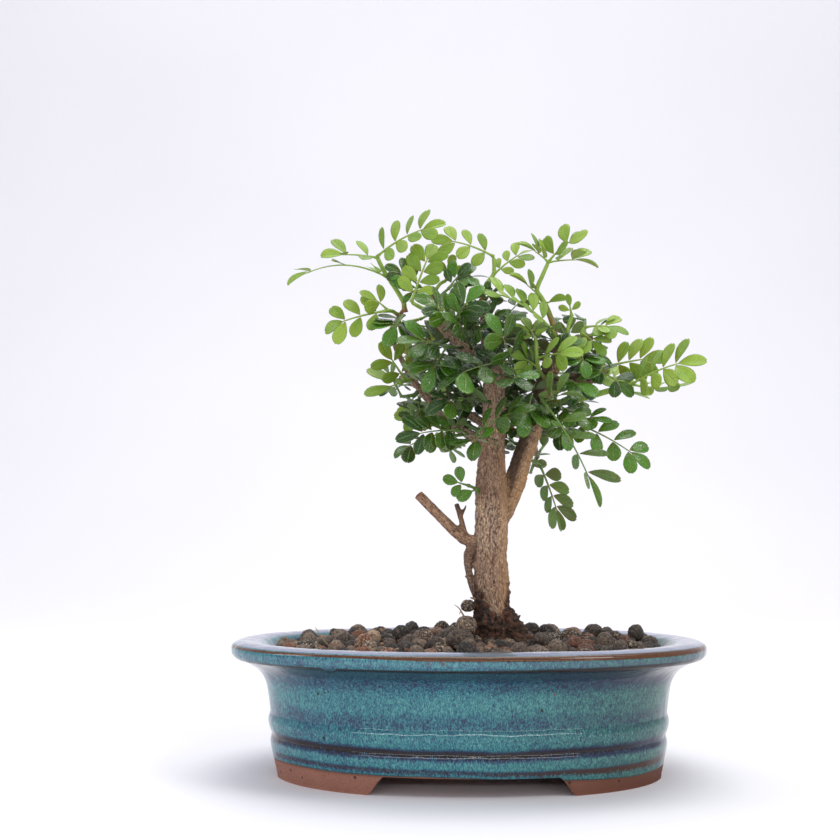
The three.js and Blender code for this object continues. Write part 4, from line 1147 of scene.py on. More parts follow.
def glaze_material(looks):
    """Runny glaze: light and dark flecks woven as fine streaks, dark where it ran together under the lip
    and along the bead, brown where it broke over the edges, and bare clay at the feet. Painted shade
    lies under the lip and over the inner wall, a painted highlight crosses the lip's face, and the bare
    clay on the right is partly painted in shade."""
    material, tree = new_material("turquoise_glaze")
    vector, x, y, z = tree.place()
    inset = tree.value("inset")
    front = y.step(-15, -25)
    right = x.step(-10, 60)
    left = x.step(-15, -50)
    drift = tree.grain(vector, 17, 1) - 0.5
    cloud = tree.grain(vector, 11, 2) - 0.5
    streak = tree.grain(tree.scaled(vector, 1, 1, 0.42), 0.32, 2, 0.6)
    dot = tree.grain(tree.scaled(vector, 1, 1, 0.6), 0.9, 2, 0.6)
    blur = streak * 0.66 + dot * 0.34
    ragged = (blur - 0.5) * 4.4

    # Heights as the glaze sees them, wavy and drawn down or up towards the sides
    high = z + drift * 1.4
    sunk = high - (right * 0.5 + left * 0.35)
    low = high + right * 0.45 - left * 0.2
    pools_and_shade = tree.most(sunk.band(12.1, 0.7, 1.7) * 1.7, low.band(LOW_LINE, 0.2, 1.1) * 1.1)
    for middle, half, soft, amount in POOLS:
        pools_and_shade = tree.most(pools_and_shade, high.band(middle, half, soft) * amount)
    # More dark flecks towards both sides, and painted shade under the lip on the right
    pools_and_shade = pools_and_shade + right * 0.25 + left * 0.24 + high.band(35, 2, 4) * right * 0.7
    # Painted light: bands at heights 26 and 9.3 take lighter flecks
    lit = tree.most(high.band(26, 2, 3), sunk.band(9.3, 0.8, 1.2))
    share = blur + pools_and_shade * 0.11 + cloud * 0.12 - lit * 0.02

    # The lines, ragged like the flecks
    outside = inset.step(9, 6)
    bead_line = (sunk + ragged).band(BEAD_LINE, 0.4 - right * 0.2, 0.7) * (0.98 - x.step(40, 58) * 0.75)
    low_line = (low + ragged).band(LOW_LINE, 0.03 + right * 0.6, 0.55) * (0.62 + right * 0.36)
    drip = x.band(DRIP_AT, 1.0, 1.6) * front
    under_lip = z + ragged * 0.12 + drip * 0.9
    lip_line = under_lip.band(LIP_LINE + right * 0.3, 0.26 + right * 0.42, 0.45) * outside
    thinner = x.step(-8, -36)
    edge = z.band(RIM_EDGE + thinner * 0.2, 0.62 - thinner * 0.36, 0.2) * outside

    # The rim's top, a grey patch at its front, and the inner wall, painted grey as shade inside the pot
    top = z.step(41.35, 41.65)
    crackle = 0.9 - blur.step(0.56, 0.66) * 0.35
    grey_patch = (x + drift * 9).band(5, 5.6, 2) * (inset + cloud * 4).step(5.8, 4) * front
    inner = tree.most(inset.step(11, 12.4), grey_patch * top) * z.step(36, 37.5)
    pits = marks_mask(tree, vector, front, PITS, 0.12)
    rust_dots = marks_mask(tree, vector, front, RUST_DOTS, 0.15)
    bare_top = BARE_TOP - right * 2.0
    rim = z + drift * 1.2
    glazed = tree.coats(
        tree.mix(right * 0.4, looks.aqua, looks.sea_green),
        (share.step(0.34, 0.5), tree.mix(right * 0.9, looks.teal, looks.sea_green)),
        (share.step(0.49, 0.59) * 0.85, tree.mix(right * 0.6, looks.blue, looks.deep_green)),
        (share.step(0.57, 0.7) * 0.9, looks.navy),
        # Painted shade under the overhanging lip: navy and dark brown bands
        (z.band(35.2, 0.8, 1.6) * 0.24, looks.navy),
        (z.band(35.4, 0.8, 1.8) * 0.34, looks.dark_brown),
        # Painted highlight: a faint lavender band across the lip's face
        (z.band(39, 0.4, 0.8) * 0.12, looks.lavender),
        (lip_line * 0.97, looks.dark_brown),
        (bead_line, looks.dark_brown),
        (low_line, looks.line_brown),
        (top * crackle, looks.lavender),
        # Painted shade: the inner wall is painted dull grey; the patch on the rim's top takes the same grey
        (inner * 0.75, looks.inner_wall_shade),
        (edge * 0.94, tree.mix(blur.step(0.54, 0.66), looks.edge_brown, looks.dark_brown)),
        (pits * 0.9, looks.dark_brown),
        (rust_dots * 0.8, looks.rust),
        (rim.step(bare_top + 0.6, bare_top + 0.35) * 0.55, looks.dark_brown),
    )

    # Bare clay at the feet, beneath and low inside
    bare = tree.most(rim.step(bare_top + 0.25, bare_top), inset.step(15.3, 16.2) * z.step(6.4, 6.2))
    bare = tree.most(bare, inset.step(14.3, 15) * z.step(32, 30))
    flashed = rim.step(bare_top - 0.7, bare_top) * inset.step(15.6, 14.6)
    specks = tree.group(specks_group(), vector=vector, size=1.9, share=0.14, soft=0.12)["Mask"]
    clay = tree.coats(
        tree.mix(tree.grain(vector, 3.5, 3), looks.clay, looks.pale_clay),
        # Towards the right the bare clay is painted redder and darker: partly its rust, partly painted
        # shade
        (right * 0.8, looks.rust),
        (right * 0.3, looks.dark_brown),
        (tree.grain(vector, 0.6, 3, 0.7).step(0.45, 0.7) * 0.4, looks.rust),
        (flashed * 0.6, looks.rust),
        (specks * 0.75, looks.dark_brown),
    )
    colour = tree.mix(bare, glazed, clay)
    roughness = looks.glaze_roughness + bare * 0.66
    waves = (tree.grain(vector, 6, 1) + streak * 0.05) * (1.0 - bare)
    grit = tree.grain(vector, 0.5, 2) * bare * 0.5
    height = waves + grit - pits * 0.6
    return finish_material(material, tree, colour, roughness, height, depth=0.35, ior=1.45)


# The soil

# Before the trunk the soil is washed out and shows its foot
DIP_MIDDLE = (13, -17)
DIP_REACH = (13, 12)
DIP_DEPTH = 3.4

# The bed under the balls: insets of its rings, how far it lies under the mound, and its underside
BED_INSETS = (SOIL_INSET + 1.2, SOIL_INSET + 0.25, 14.5, 17, 20, 25, 30, 36, 42, 48, 54, 57)
BED_SINK = 1.6
BED_FOOT = (17.6, 12.0)
BED_SIDES = 96

# How far the balls stay from the wall and from the middle of the trunk's foot
WALL_GAP = 0.3
TRUNK_ROOM = 5.5

# Layers of drawn balls: the seed of their places, how many are tried and how far apart they stay, as a
# share of touching; and how the balls of a layer are shaped: rings, sides, seed and roughness
SCATTER = {
    "ball": (7, 5200, 0.83), "below": (41, 1700, 0.92), "upper": (23, 420, 1.5),
    "crumb": (31, 900, 3.0),
}
LUMPS = {
    "ball": (7, 10, 11, 0.14), "below": (6, 8, 15, 0.14), "upper": (7, 10, 12, 0.16),
    "crumb": (5, 6, 13, 0.3), "placed": (9, 14, 14, 0.13),
}

# Balls that the photo shows one by one: the place, the radius and the tone of each
PLACED_BALLS = [
    (-3, -26, 43.6, 4.2, 0.5), (0.3, -3, 53, 2.4, 0.4), (-0.6, -9, 46.4, 3.3, 0.66),
    (23.5, -12, 42.5, 2.7, 0.45), (22.3, 8, 43.7, 3, 0.3), (42.6, 4, 44, 3.2, 0.42),
    (46.4, 2, 42.8, 3, 0.5), (56.6, 3, 43.4, 3.1, 0.35),
]

# A root hair, the stem and the prong of a dry twig and a hung root: points with radius, rings and sides
STRANDS = [
    ([(-42.7, -22, 40, 0.22), (-45.7, -23, 43.5, 0.2), (-48.2, -22, 47, 0.15)], 12, 5),
    ([(-0.8, -6, 49, 0.35), (-1.9, -5.5, 51, 0.3), (-2.9, -5, 52.4, 0.2), (-4.4, -4.6, 53.4, 0.1)], 8, 6),
    ([(-1.7, -5.6, 50.7, 0.25), (-2.3, -5.4, 51, 0.2), (-2.6, -5.4, 50.2, 0.1)], 6, 5),
    ([(5, -2, 54, 0.5), (3.2, -3, 55, 0.5), (1, -3.2, 55.6, 0.3)], 8, 6),
]


def mound(x, y):
    """Height of the soil: its edge plus a crown that falls with the square of the way to the wall, less
    a bell-shaped dip before the trunk."""
    across = np.hypot(x / (POT_HALF[0] - 12), y / (POT_HALF[1] - 12))
    dip = np.exp(-(((x - DIP_MIDDLE[0]) / DIP_REACH[0]) ** 2) - ((y - DIP_MIDDLE[1]) / DIP_REACH[1]) ** 2)
    return SOIL_EDGE + SOIL_CROWN * (1 - np.minimum(across, 1.1) ** 2) - DIP_DEPTH * dip


def lumps(shape, kind, middles, sizes, tone):
    """Closed lumps: latitude rings of a ball whose radius is changed by two layers of smooth noise and
    which is flattened a little. Each reads the noise at its own place, so no two are alike."""
    rings, sides, seed, rough = LUMPS[kind]
    rows = np.linspace(-1.28, 1.28, rings)
    angle = 2 * np.pi * np.arange(sides) / sides
    flat = np.cos(rows)[:, None, None] * np.stack([np.cos(angle), np.sin(angle)], -1)[None]
    way = np.concatenate([flat, np.broadcast_to(np.sin(rows)[:, None, None], (*flat.shape[:2], 1))], -1)
    drawn = np.random.default_rng(seed)
    own = drawn.uniform(-40, 40, (len(middles), 1, 1, 3))
    squash = drawn.uniform(0.82, 1.08, (len(middles), 1, 1, 3))
    coarse = noise(way[None] * 1.1 + own, seed)
    finer = noise(way[None] * 3.1 + own, seed + 1)
    reach = 1 + rough * coarse + 0.55 * rough * finer
    points = middles[:, None, None] + way[None] * squash * reach[..., None] * sizes[:, None, None, None]
    faces = closed_rings(len(middles), rings, sides)
    shape.add(points, faces, tone=np.repeat(tone, rings * sides), dry=0.0)


def scattered(seed, tries, spacing, low, high):
    """Places of balls on the soil, drawn one by one and kept where they lie clear of those before."""
    drawn = np.random.default_rng(seed)
    spots = drawn.uniform(-1, 1, (tries, 2)) * POT_HALF
    radii = low + (high - low) * drawn.beta(2.2, 2.2, tries)
    wall = np.array(POT_HALF) - SOIL_INSET - radii[:, None] - WALL_GAP
    free = (np.abs(spots / wall) ** POT_ROUNDNESS).sum(1) < 1
    free &= np.hypot(*(spots - TRUNK_FOOT).T) > TRUNK_ROOM + radii
    kept = np.zeros((0, 3))
    for spot, radius in zip(spots[free], radii[free], strict=True):
        if np.all(np.hypot(*(kept[:, :2] - spot).T) > spacing * (kept[:, 2] + radius)):
            kept = np.concatenate([kept, [[*spot, radius]]])
    return kept


def add_layer(shape, kind, radii, rise, tones, drawn, sink=0.0, lift=0.0):
    """A layer of balls that rise over the mound, less the share sink of their radius and lifted or let
    down by up to lift. Radii and tones are given by the least and the greatest."""
    balls = scattered(*SCATTER[kind], *radii)
    count = len(balls)
    height = mound(*balls[:, :2].T) + rise - sink * balls[:, 2]
    if lift:
        height = height + drawn.uniform(-lift, lift, count)
    middles = np.column_stack([balls[:, :2], height])
    lumps(shape, kind, middles, balls[:, 2], drawn.uniform(*tones, count))


def build_soil(looks):
    """The mound of clay balls, with crumbs between them, a root hair and a dry twig."""
    shape = Shape()
    plan = ovals(BED_INSETS, BED_SIDES)
    top = mound(plan[..., 0], plan[..., 1]) - BED_SINK
    rings = np.concatenate([plan, top[..., None]], -1)
    foot_inset, foot_height = BED_FOOT
    rings[0, :, :2] = ovals([foot_inset], BED_SIDES)[0]
    rings[0, :, 2] = foot_height
    # The bed takes a dark tone: painted shade in the gaps between the balls
    shape.add(rings, closed_rings(1, len(BED_INSETS), BED_SIDES), tone=0.15, dry=0.0)

    drawn = np.random.default_rng(3)
    low, high = looks.ball_low, looks.ball_high
    add_layer(shape, "ball", (low, high), 3.3, (0, 1), drawn, sink=1.0, lift=0.5)
    add_layer(shape, "below", (1.7, 2.4), 0.5, (0, 0.8), np.random.default_rng(43))
    add_layer(shape, "upper", (low * 0.9, high * 0.9), 2.2, (0, 1), drawn)
    add_layer(shape, "crumb", (0.45, 1.2), 1.6, (0.3, 1), drawn)
    placed = np.array(PLACED_BALLS)
    lumps(shape, "placed", placed[:, :3], placed[:, 3], placed[:, 4])
    for points, rings_along, sides in STRANDS:
        tube = tube_rings(points, rings_along, sides)
        shape.add(tube, closed_rings(1, rings_along, sides), tone=0.5, dry=1.0)
    add_piece("clay_ball_soil", shape.mesh("clay_ball_soil"), clay_material(looks), ["soil"])


def clay_material(looks):
    """Fired clay balls, dark grey-brown with rust and beige ones, each mottled with dust, pitted and
    gritty, and all painted darker on the right as shade."""
    material, tree = new_material("clay_balls")
    vector, x = tree.place()[:2]
    tone = tree.value("tone")
    patch = tree.grain(vector, 2.4, 3, 0.6)
    mottle = tree.grain(vector, 0.8, 3, 0.65)
    fine = tree.grain(vector, 0.4, 2, 0.65)
    mixed = tone + (patch - 0.5) * 0.3
    dusty = 0.22 + tree.math("FRACT", tone * 7.3).step(0.66, 0.82) * 0.68
    holes = tree.group(specks_group(), vector=vector, size=1.3, share=0.5, radius=0.12, soft=0.1)["Mask"]
    colour = tree.coats(
        tree.mix(mixed.step(0.15, 0.6), looks.dark, looks.brown),
        (mixed.step(0.52, 0.7) * 0.22, looks.beige),
        (mixed.step(0.74, 0.86), looks.rust),
        (mixed.step(0.93, 1.02) * 0.8, looks.beige),
        # Painted shade: the balls are painted darker towards the right
        (x.step(10, 42) * 0.34, looks.dark),
        ((mottle + fine * 0.35).step(0.69, 0.84) * dusty, looks.beige),
        (mottle.step(0.48, 0.35) * 0.88, looks.dark),
        (holes * 0.8, looks.crack),
        (tree.value("dry"), looks.straw),
    )
    height = fine * 0.35 + mottle + patch * 0.6 - holes * 0.5
    return finish_material(material, tree, colour, 0.5 + fine * 0.3, height, depth=0.6)


# The wood

BARK_SAMPLES = 40

# How many points are searched at a time, which bounds the memory taken
SEARCH_SPAN = 4000

# How slowly the grain changes along a branch, as a share of how fast it changes across
GRAIN_DRAW = 0.34

# How far along the grain each branch starts from the one before, so that no two look alike
GRAIN_START = 57

# Scars, a ring with a hollow, and bumps of the bark: the place and how wide
SCARS = [((2.5, -5.4, 84.5), 1.5), ((4.2, -5.1, 56), 1.3), ((10, -5.6, 73), 1.2), ((13.5, -3.8, 64), 1.1)]
BUMPS = [
    ((13.9, 0, 84.3), 1.6), ((14.2, 0, 60.2), 1.1), ((14.6, -1, 57.2), 1.3), ((2.8, -2, 66), 1.4),
    ((4, -3.6, 94), 1.2),
]

# Bark that has grown across between the trunk and the left root, but for one small gap
WEBS = [
    [(2.5, -0.2, 66.4, 0.9), (2.6, -0.3, 70, 1.4), (3, -0.5, 73, 1.8)],
    [(3.2, -0.4, 61.6, 0.7), (3, -0.3, 59.5, 1), (4, 0, 57, 1.2)],
    [(1.4, -0.2, 64, 0.7), (0.2, -0.3, 62.4, 0.5), (-0.8, -0.4, 62.6, 0.2)],
]
STUBS = ("cut_stub", "small_stub", "stub_fork")
CORKY = ("corky_stub", "dry_twig")

# The share of the long stub that still has the bark of the trunk, and where its cut end begins
STUB_BARKED = 0.52
STUB_CUT = 0.985

# Rings of a branch for each of its points, and the sides of each ring
WOOD_RINGS = 8
WOOD_SIDES = 20

# How far each kind of relief stands out on thick wood, in millimetres
RELIEF = {"furrow": 0.26, "lump": 0.5, "flake": 0.24, "crust": 1.25}


def wood_samples():
    """Places along every branch, each with the branch's radius and heading there, the length passed, the
    number of the branch and the share of it that is passed."""
    rows = []
    for index, branch in enumerate(WOOD.values()):
        t = np.linspace(0, 1, BARK_SAMPLES)
        here = along(branch, t)
        steps = np.linalg.norm(np.diff(here[:, :3], axis=0), axis=1)
        passed = np.concatenate([[0], np.cumsum(steps)]) + GRAIN_START * index
        rows.append((here[:, :3], here[:, 3], headings(branch, t), passed, np.full(BARK_SAMPLES, index), t))
    return [np.concatenate(column) for column in zip(*rows, strict=True)]


def grain_of(points):
    """For each point of the wood: coordinates that run slowly along its branch, the branch's radius,
    its index and the share of it that is passed. The branch is the one whose surface lies nearest."""
    samples = wood_samples()
    nearest = np.empty(len(points), int)
    for start in range(0, len(points), SEARCH_SPAN):
        part = points[start : start + SEARCH_SPAN]
        away = np.linalg.norm(part[:, None] - samples[0][None], axis=2) - samples[1][None]
        nearest[start : start + SEARCH_SPAN] = away.argmin(1)
    place, radius, axis, length, branch, share = (column[nearest] for column in samples)
    off = points - place
    passed = (off * axis).sum(1)
    round_it = off - axis * passed[:, None]
    grain = round_it + axis * ((length + passed) * GRAIN_DRAW)[:, None]
    return grain, radius, branch, share


def bark_relief(points, grain, radius, stub, corky):
    """How far the bark stands out at each point: furrows, lumps and flakes, strongest on thick wood,
    the crust at the foot, less of it all on the stubs, cork, scars and bumps."""
    thick = eased(radius, 0.8, 4.5)
    flake = layered(grain * 2.0, 9, 2)
    sides = np.maximum(eased(points[:, 0], 8.5, 4), 0.7 * eased(points[:, 0], 11, 13.5))
    kinds = {
        "furrow": 1 - 2 * np.abs(layered(grain * 0.75, 3, 2)),
        "lump": layered(points * np.array([0.16, 0.16, 0.11]), 21, 2),
        "flake": flake,
        "crust": layered(points * 0.85, 33, 3) * eased(points[:, 2], 53 + 9 * sides, 46 + 6 * sides),
    }
    push = thick * sum(RELIEF[kind] * field for kind, field in kinds.items())
    push = push + (1 - thick) * 0.12 * flake
    push = np.where(stub, 0.5 * push - 0.2, push)
    push += corky * 0.75 * layered(points, 41, 2)
    for middle, size in SCARS:
        away = np.linalg.norm(points - middle, axis=1) / size
        push += 0.7 * np.exp(-((away - 1) ** 2) * 4) - 0.8 * np.exp(-(away**2) * 2.4)
    for middle, size in BUMPS:
        away = np.linalg.norm(points - middle, axis=1) / size
        push += 0.8 * size * np.exp(-(away**2)) * (1 + 0.5 * flake)
    return push


def build_wood(looks):
    """Trunk, roots, branches and stubs in one skin, with furrows and warts of bark worked into it."""
    shape = Shape()
    for branch in (*WOOD.values(), *WEBS):
        rings = WOOD_RINGS * len(branch)
        shape.add(tube_rings(branch, rings, WOOD_SIDES), closed_rings(1, rings, WOOD_SIDES))
    voxel = looks.voxel * MM
    mesh = applied(
        shape.mesh("wood_tubes"), "wood_skin",
        ("REMESH", {"mode": "VOXEL", "voxel_size": voxel, "use_smooth_shade": True}),
        ("SMOOTH", {"factor": 0.5, "iterations": 3}),
    )
    points, normals = points_of(mesh), normals_of(mesh)
    grain, radius, branch, share = grain_of(points)
    names = list(WOOD)
    corky = np.isin(branch, [names.index(name) for name in CORKY])
    stub = np.isin(branch, [names.index(name) for name in STUBS])
    on_long_stub = branch == names.index("cut_stub")
    stub &= ~on_long_stub | (share > STUB_BARKED)
    cut = on_long_stub & (share > STUB_CUT)
    push = bark_relief(points, grain, radius, stub, corky)
    mesh.vertices.foreach_set("co", ((points + normals * push[:, None]) * MM).ravel())
    mesh.update()
    mesh.shade_smooth()
    values = {"grain": grain, "cut": cut, "corky": corky, "stub": stub, "thin": 1 - eased(radius, 0.7, 2.2)}
    for key, value in values.items():
        set_value(mesh, key, value)
    mesh.materials.clear()
    add_piece("tree_bark", mesh, bark_material(looks), ["trunk"])


def bark_material(looks):
    """Grey-brown bark: tan flecks and dark pores drawn out along it, darker and redder towards the crown,
    and at the foot a black crust mixed with rust, which climbs higher on the left. Painted light turns
    the trunk's right side and the fork's right half gold; painted shade darkens the fork's left half and
    the trunk towards its foot."""
    material, tree = new_material("bark")
    vector, x, _, z = tree.place()
    grain = tree.vector("grain")
    stub = tree.value("stub")
    long = tree.grain(grain, 0.9, 3, 0.66)
    fleck = tree.grain(grain, 0.36, 3, 0.66)
    fibre = tree.grain(grain, 0.8, 3, 0.65)
    patch = tree.grain(vector, 6, 3, 0.6)
    fine = tree.grain(vector, 0.45, 2, 0.6)
    chunk = tree.grain(vector, 1.5, 3, 0.65)
    ringed = z.band(97, 6, 8) * x.step(15.5, 12.5)
    # Painted light: the trunk's right side is painted gold
    lit_gold = x.step(9, 13.5) * z.step(118, 92)
    strand = x.step(4.5, 2.5) * z.step(76, 70)

    # The right fork, painted in shade to the left of its leaning middle line and painted lit gold to the
    # right
    forked = x.step(13.4, 15.4) * z.step(83, 92)
    over = x - z * 0.325 + 14.2

    # The crust at the foot, and how high it climbs
    sides = tree.most(x.step(8.5, 4), x.step(11, 13.5) * 0.7)
    low = (z - patch * 20 - sides * 9).step(44, 39.5)
    crust = tree.mix((fibre * 0.6 + chunk * 0.4).step(0.46, 0.6), looks.crust, looks.rust)
    crust = tree.mix(fine.step(0.6, 0.76) * 0.4, crust, looks.tan)

    thin = tree.mix(fleck.step(0.4, 0.6), looks.twig, looks.grey_brown)
    husk = tree.mix(chunk.step(0.42, 0.62), looks.crust, looks.grey_brown)
    smooth = tree.mix((long * 0.6 + fleck * 0.4).step(0.4, 0.56), looks.stub_dark, looks.stub_light)
    small = x.step(-7, -5) * stub
    colour = tree.coats(
        tree.mix(long.step(0.32, 0.59), looks.furrow, looks.grey_brown),
        (patch.step(0.46, 0.66) * 0.35, looks.reddish),
        (fleck.step(0.5, 0.65) * 0.95, looks.tan),
        (fleck.step(0.45, 0.33) * 0.85, looks.furrow),
        (ringed * 0.5, looks.ringed),
        # Painted shade: the trunk is painted darker and redder towards its foot
        (z.step(82, 60) * 0.34, looks.ringed),
        # Painted light and shade: gold on the trunk's right side and the fork's right half, dark furrow
        # brown on the fork's left half
        (lit_gold * 0.42, looks.lit_gold),
        (forked * over.step(1.5, -1) * 0.85, looks.furrow),
        (forked * over.step(0.6, 3) * 0.45, looks.lit_gold),
        (strand * 0.55, looks.ringed),
        (low * 0.95, crust),
        (tree.value("thin"), thin),
        (tree.value("corky") * 0.85, husk),
        (stub * 0.85, smooth),
        (z.step(76, 82) * small * 0.45, looks.stub_dark),
        (z.step(83.5, 86.5) * small * 0.6, looks.crust),
        (tree.value("cut"), looks.cut_wood),
    )
    height = long * 0.7 + fleck * 0.7 + fine * 0.3 + chunk * low * 0.8
    return finish_material(material, tree, colour, 0.74 + fleck * 0.2, height, depth=0.75)


# The leaves

# Places along a leaflet, and angles round its flat section, an edge strip on each side
LEAFLET_ROWS = (0.012, 0.09, 0.24, 0.42, 0.6, 0.77, 0.9, 0.985)
LEAFLET_TURNS = (7, 45, 90, 135, 173, 187, 225, 270, 315, 353)
LEAFLET_THICKNESS = 0.09
LEAFLET_WIDE = 0.27
RIB_RINGS = 12
RIB_SIDES = 6
TWIG_SIDES = 10

# How much stouter than the plan's the twigs are drawn
STOUT_YOUNG = 1.3
STOUT_OLD = 1.1

# How far a twig is carried on into the bark
TWIG_ROOT = 1.6

# Sprays that differ: how steeply the leaflets fold up from the rib, how pale they are above, and how
# light the darkest of them is, and the share of the usual width. The pale upper faces are partly the
# paler undersides that folded leaflets show and partly painted light on faces in shade
MOODS = {
    "spray_upper_left": {"folded": 0.3},
    "spray_top_right": {"folded": 0.5},
    "spray_long_top": {"folded": 0.3},
    "spray_front_droop": {"folded": 1.2, "pale": 0.3, "narrow": 0.62},
    "spray_hang_right": {"folded": 1.0, "pale": 0.6},
    "spray_right_low": {"light": 0.8},
    "spray_trunk_left": {"light": 0.9, "pale": 0.2, "narrow": 1.2},
    "trunk_left_low": {"light": 0.9, "pale": 0.2, "narrow": 1.2},
}


def inner_of(points):
    """0 outside the crown and 1 towards its middle: how much painted shade a leaf or stalk takes."""
    return eased(inwards(points, CROWN), 0.05, 0.6)


def add_leaflets(shape, leaf, drawn, folded=0.0, pale=0.0, light=0.0, narrow=1.0):
    """The leaflets of one leaf. Each is a flat tube: its half width is the sine of pi times the 1.4th
    power of the place along it, to the power 0.56; it folds up from its midrib, leans a little over
    the next one, bends down towards its tip and has a small notch there."""
    parts = leaf["parts"]
    count = len(parts)
    a = np.array(LEAFLET_ROWS)[None, :, None]
    turn = np.radians(LEAFLET_TURNS)[None, None, :]
    side = np.where(parts[:, 1] == 0, 1, parts[:, 1])[:, None, None]
    wide = np.sin(np.pi * a**1.4) ** 0.56
    long = parts[:, 3][:, None, None]
    half = parts[:, 4][:, None, None]
    fuller = np.maximum(half, LEAFLET_WIDE * long * drawn.uniform(0.9, 1.12, (count, 1, 1))) / half
    b = side * np.cos(turn) * wide * fuller * narrow
    bend = drawn.uniform(0.02, 0.16, (count, 1, 1))
    fold = drawn.uniform(0.04, 0.24, (count, 1, 1))
    paired = np.where(parts[:, 1] == 0, 0, 1)[:, None, None]
    lean = (drawn.uniform(0.15, 0.4) + drawn.normal(0, 0.22, (count, 1, 1))) * paired
    roll = drawn.normal(0, 0.2, (count, 1, 1)) * (1 - paired)
    notch = 0.035 * long * a**12 * (1 - np.abs(np.cos(turn)))
    far = long * a - notch
    steep = 1 / math.hypot(1, folded)
    u, w, h = on_leaflet(parts, np.broadcast_to(a, b.shape), b, far)
    h = h + folded * np.abs(w) * steep
    w = w * steep
    skin = LEAFLET_THICKNESS * np.sign(np.sin(turn)) * np.abs(np.sin(turn)) ** 0.4 * (0.35 + 0.65 * wide)
    rise = (fold * np.abs(b) - (lean + roll) * b) * half - bend * long * a**2
    points = on_leaf(leaf, u, w, h + rise + skin)
    # With pale, the upper face takes part of the underside's paler colour: partly painted light
    values = {
        "tone": drawn.uniform(light, 1, (count, 1, 1)), "under": np.maximum(np.sin(turn) < 0, pale),
        "stem": np.zeros((1, 1, 1)), "length": a, "across": np.cos(turn), "inner": inner_of(points),
    }
    spread = {key: np.broadcast_to(value, b.shape).ravel().astype(float) for key, value in values.items()}
    shape.add(points, closed_rings(count, len(LEAFLET_ROWS), len(LEAFLET_TURNS)), **spread)


def add_stalk(shape, points, rings, sides, stem):
    """A closed tube of a twig or a rib; stem says how much of the colour of wood it takes."""
    length = np.repeat(np.linspace(0, 1, rings), sides)
    values = {"tone": 0.5, "under": 0.0, "stem": stem, "length": length, "across": 0.0}
    shape.add(points, closed_rings(1, rings, sides), **values, inner=inner_of(points).ravel())


def add_rib(shape, leaf, stout):
    """The stalk and rib of one leaf, a flat tube along its chord, thicker at its root."""
    u = np.linspace(0, 1, RIB_RINGS)[:, None]
    angle = (2 * np.pi * np.arange(RIB_SIDES) / RIB_SIDES)[None]
    end = leaf["parts"][-1, 0] + 0.4
    half = stout * (0.2 + 0.2 * (1 - u) + 0.25 * np.exp(-((u * end / 0.9) ** 2)))
    w = half * np.cos(angle)
    h = 0.75 * half * np.sin(angle)
    points = on_leaf(leaf, np.broadcast_to(u * end, w.shape), w, h)
    add_stalk(shape, points, RIB_RINGS, RIB_SIDES, 0.6)


def add_spray(shape, spray, drawn):
    """The twig, the ribs and the leaflets of a spray."""
    rings = 6 * len(spray["twig"])
    path = np.array(spray["twig"], float)
    back = unit(path[0, :3] - path[1, :3]) * TWIG_ROOT
    stout = STOUT_YOUNG if spray["young"] else STOUT_OLD
    path[:, 3] *= stout
    path = np.concatenate([[[*(path[0, :3] + back), 1.25 * path[0, 3]]], path])
    add_stalk(shape, tube_rings(path, rings, TWIG_SIDES), rings, TWIG_SIDES, 1.0)
    for leaf in spray["leaves"]:
        add_rib(shape, leaf, stout)
        add_leaflets(shape, leaf, drawn, **MOODS.get(spray["name"], {}))


def build_leaves(looks):
    """One piece for each packed spray, joined by the shoots whose foot lies nearest to its own; a young
    spray takes none."""
    room = Room()
    plan = grow_plan(room)
    names = {spray["name"] for spray in plan}
    differ = names ^ {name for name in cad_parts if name.startswith("spray_")}
    if differ:
        raise RuntimeError(f"the plan of the leaves and the packed sprays differ: {sorted(differ)}")
    shapes = [Shape() for _ in plan]
    for index, spray in enumerate(plan):
        add_spray(shapes[index], spray, np.random.default_rng(500 + index))
    feet = np.array([spray["twig"][0, :3] for spray in plan])
    young = np.array([spray["young"] for spray in plan])
    for index, shoot in enumerate(grow_gap_shoots(room) + grow_thicket(room)):
        away = np.linalg.norm(feet - shoot["twig"][0, :3], axis=1)
        nearest = np.where(young, np.inf, away).argmin()
        add_spray(shapes[nearest], shoot, np.random.default_rng(800 + index))
    materials = {kind: leaf_material(kind, looks) for kind in ("young_leaf", "old_leaf")}
    for shape, spray in zip(shapes, plan, strict=True):
        name = spray["name"].replace("spray_", "leaves_")
        kind = "young_leaf" if spray["young"] else "old_leaf"
        add_piece(name, shape.mesh(name), materials[kind], [spray["name"]])


def veins_group():
    """Veins of a leaflet from its own length and width: a midrib, and side veins that slant forward."""
    name = "leaf_veins"
    if name in bpy.data.node_groups:
        return bpy.data.node_groups[name]
    inputs = {"Length": ("Float", 0.5), "Across": ("Float", 0.0), "Pairs": ("Float", 7.0)}
    group, tree, into, out = new_group(name, inputs, ["Midrib", "Side"])
    off = abs(into["Across"])
    tree.feed(out["Midrib"], off.step(0.13, 0.03))
    phase = into["Length"] - off * 0.22
    wave = abs(tree.math("FRACT", phase * into["Pairs"]) - 0.5)
    tree.feed(out["Side"], wave.step(0.12, 0.02) * off.step(0.95, 0.6))
    return group


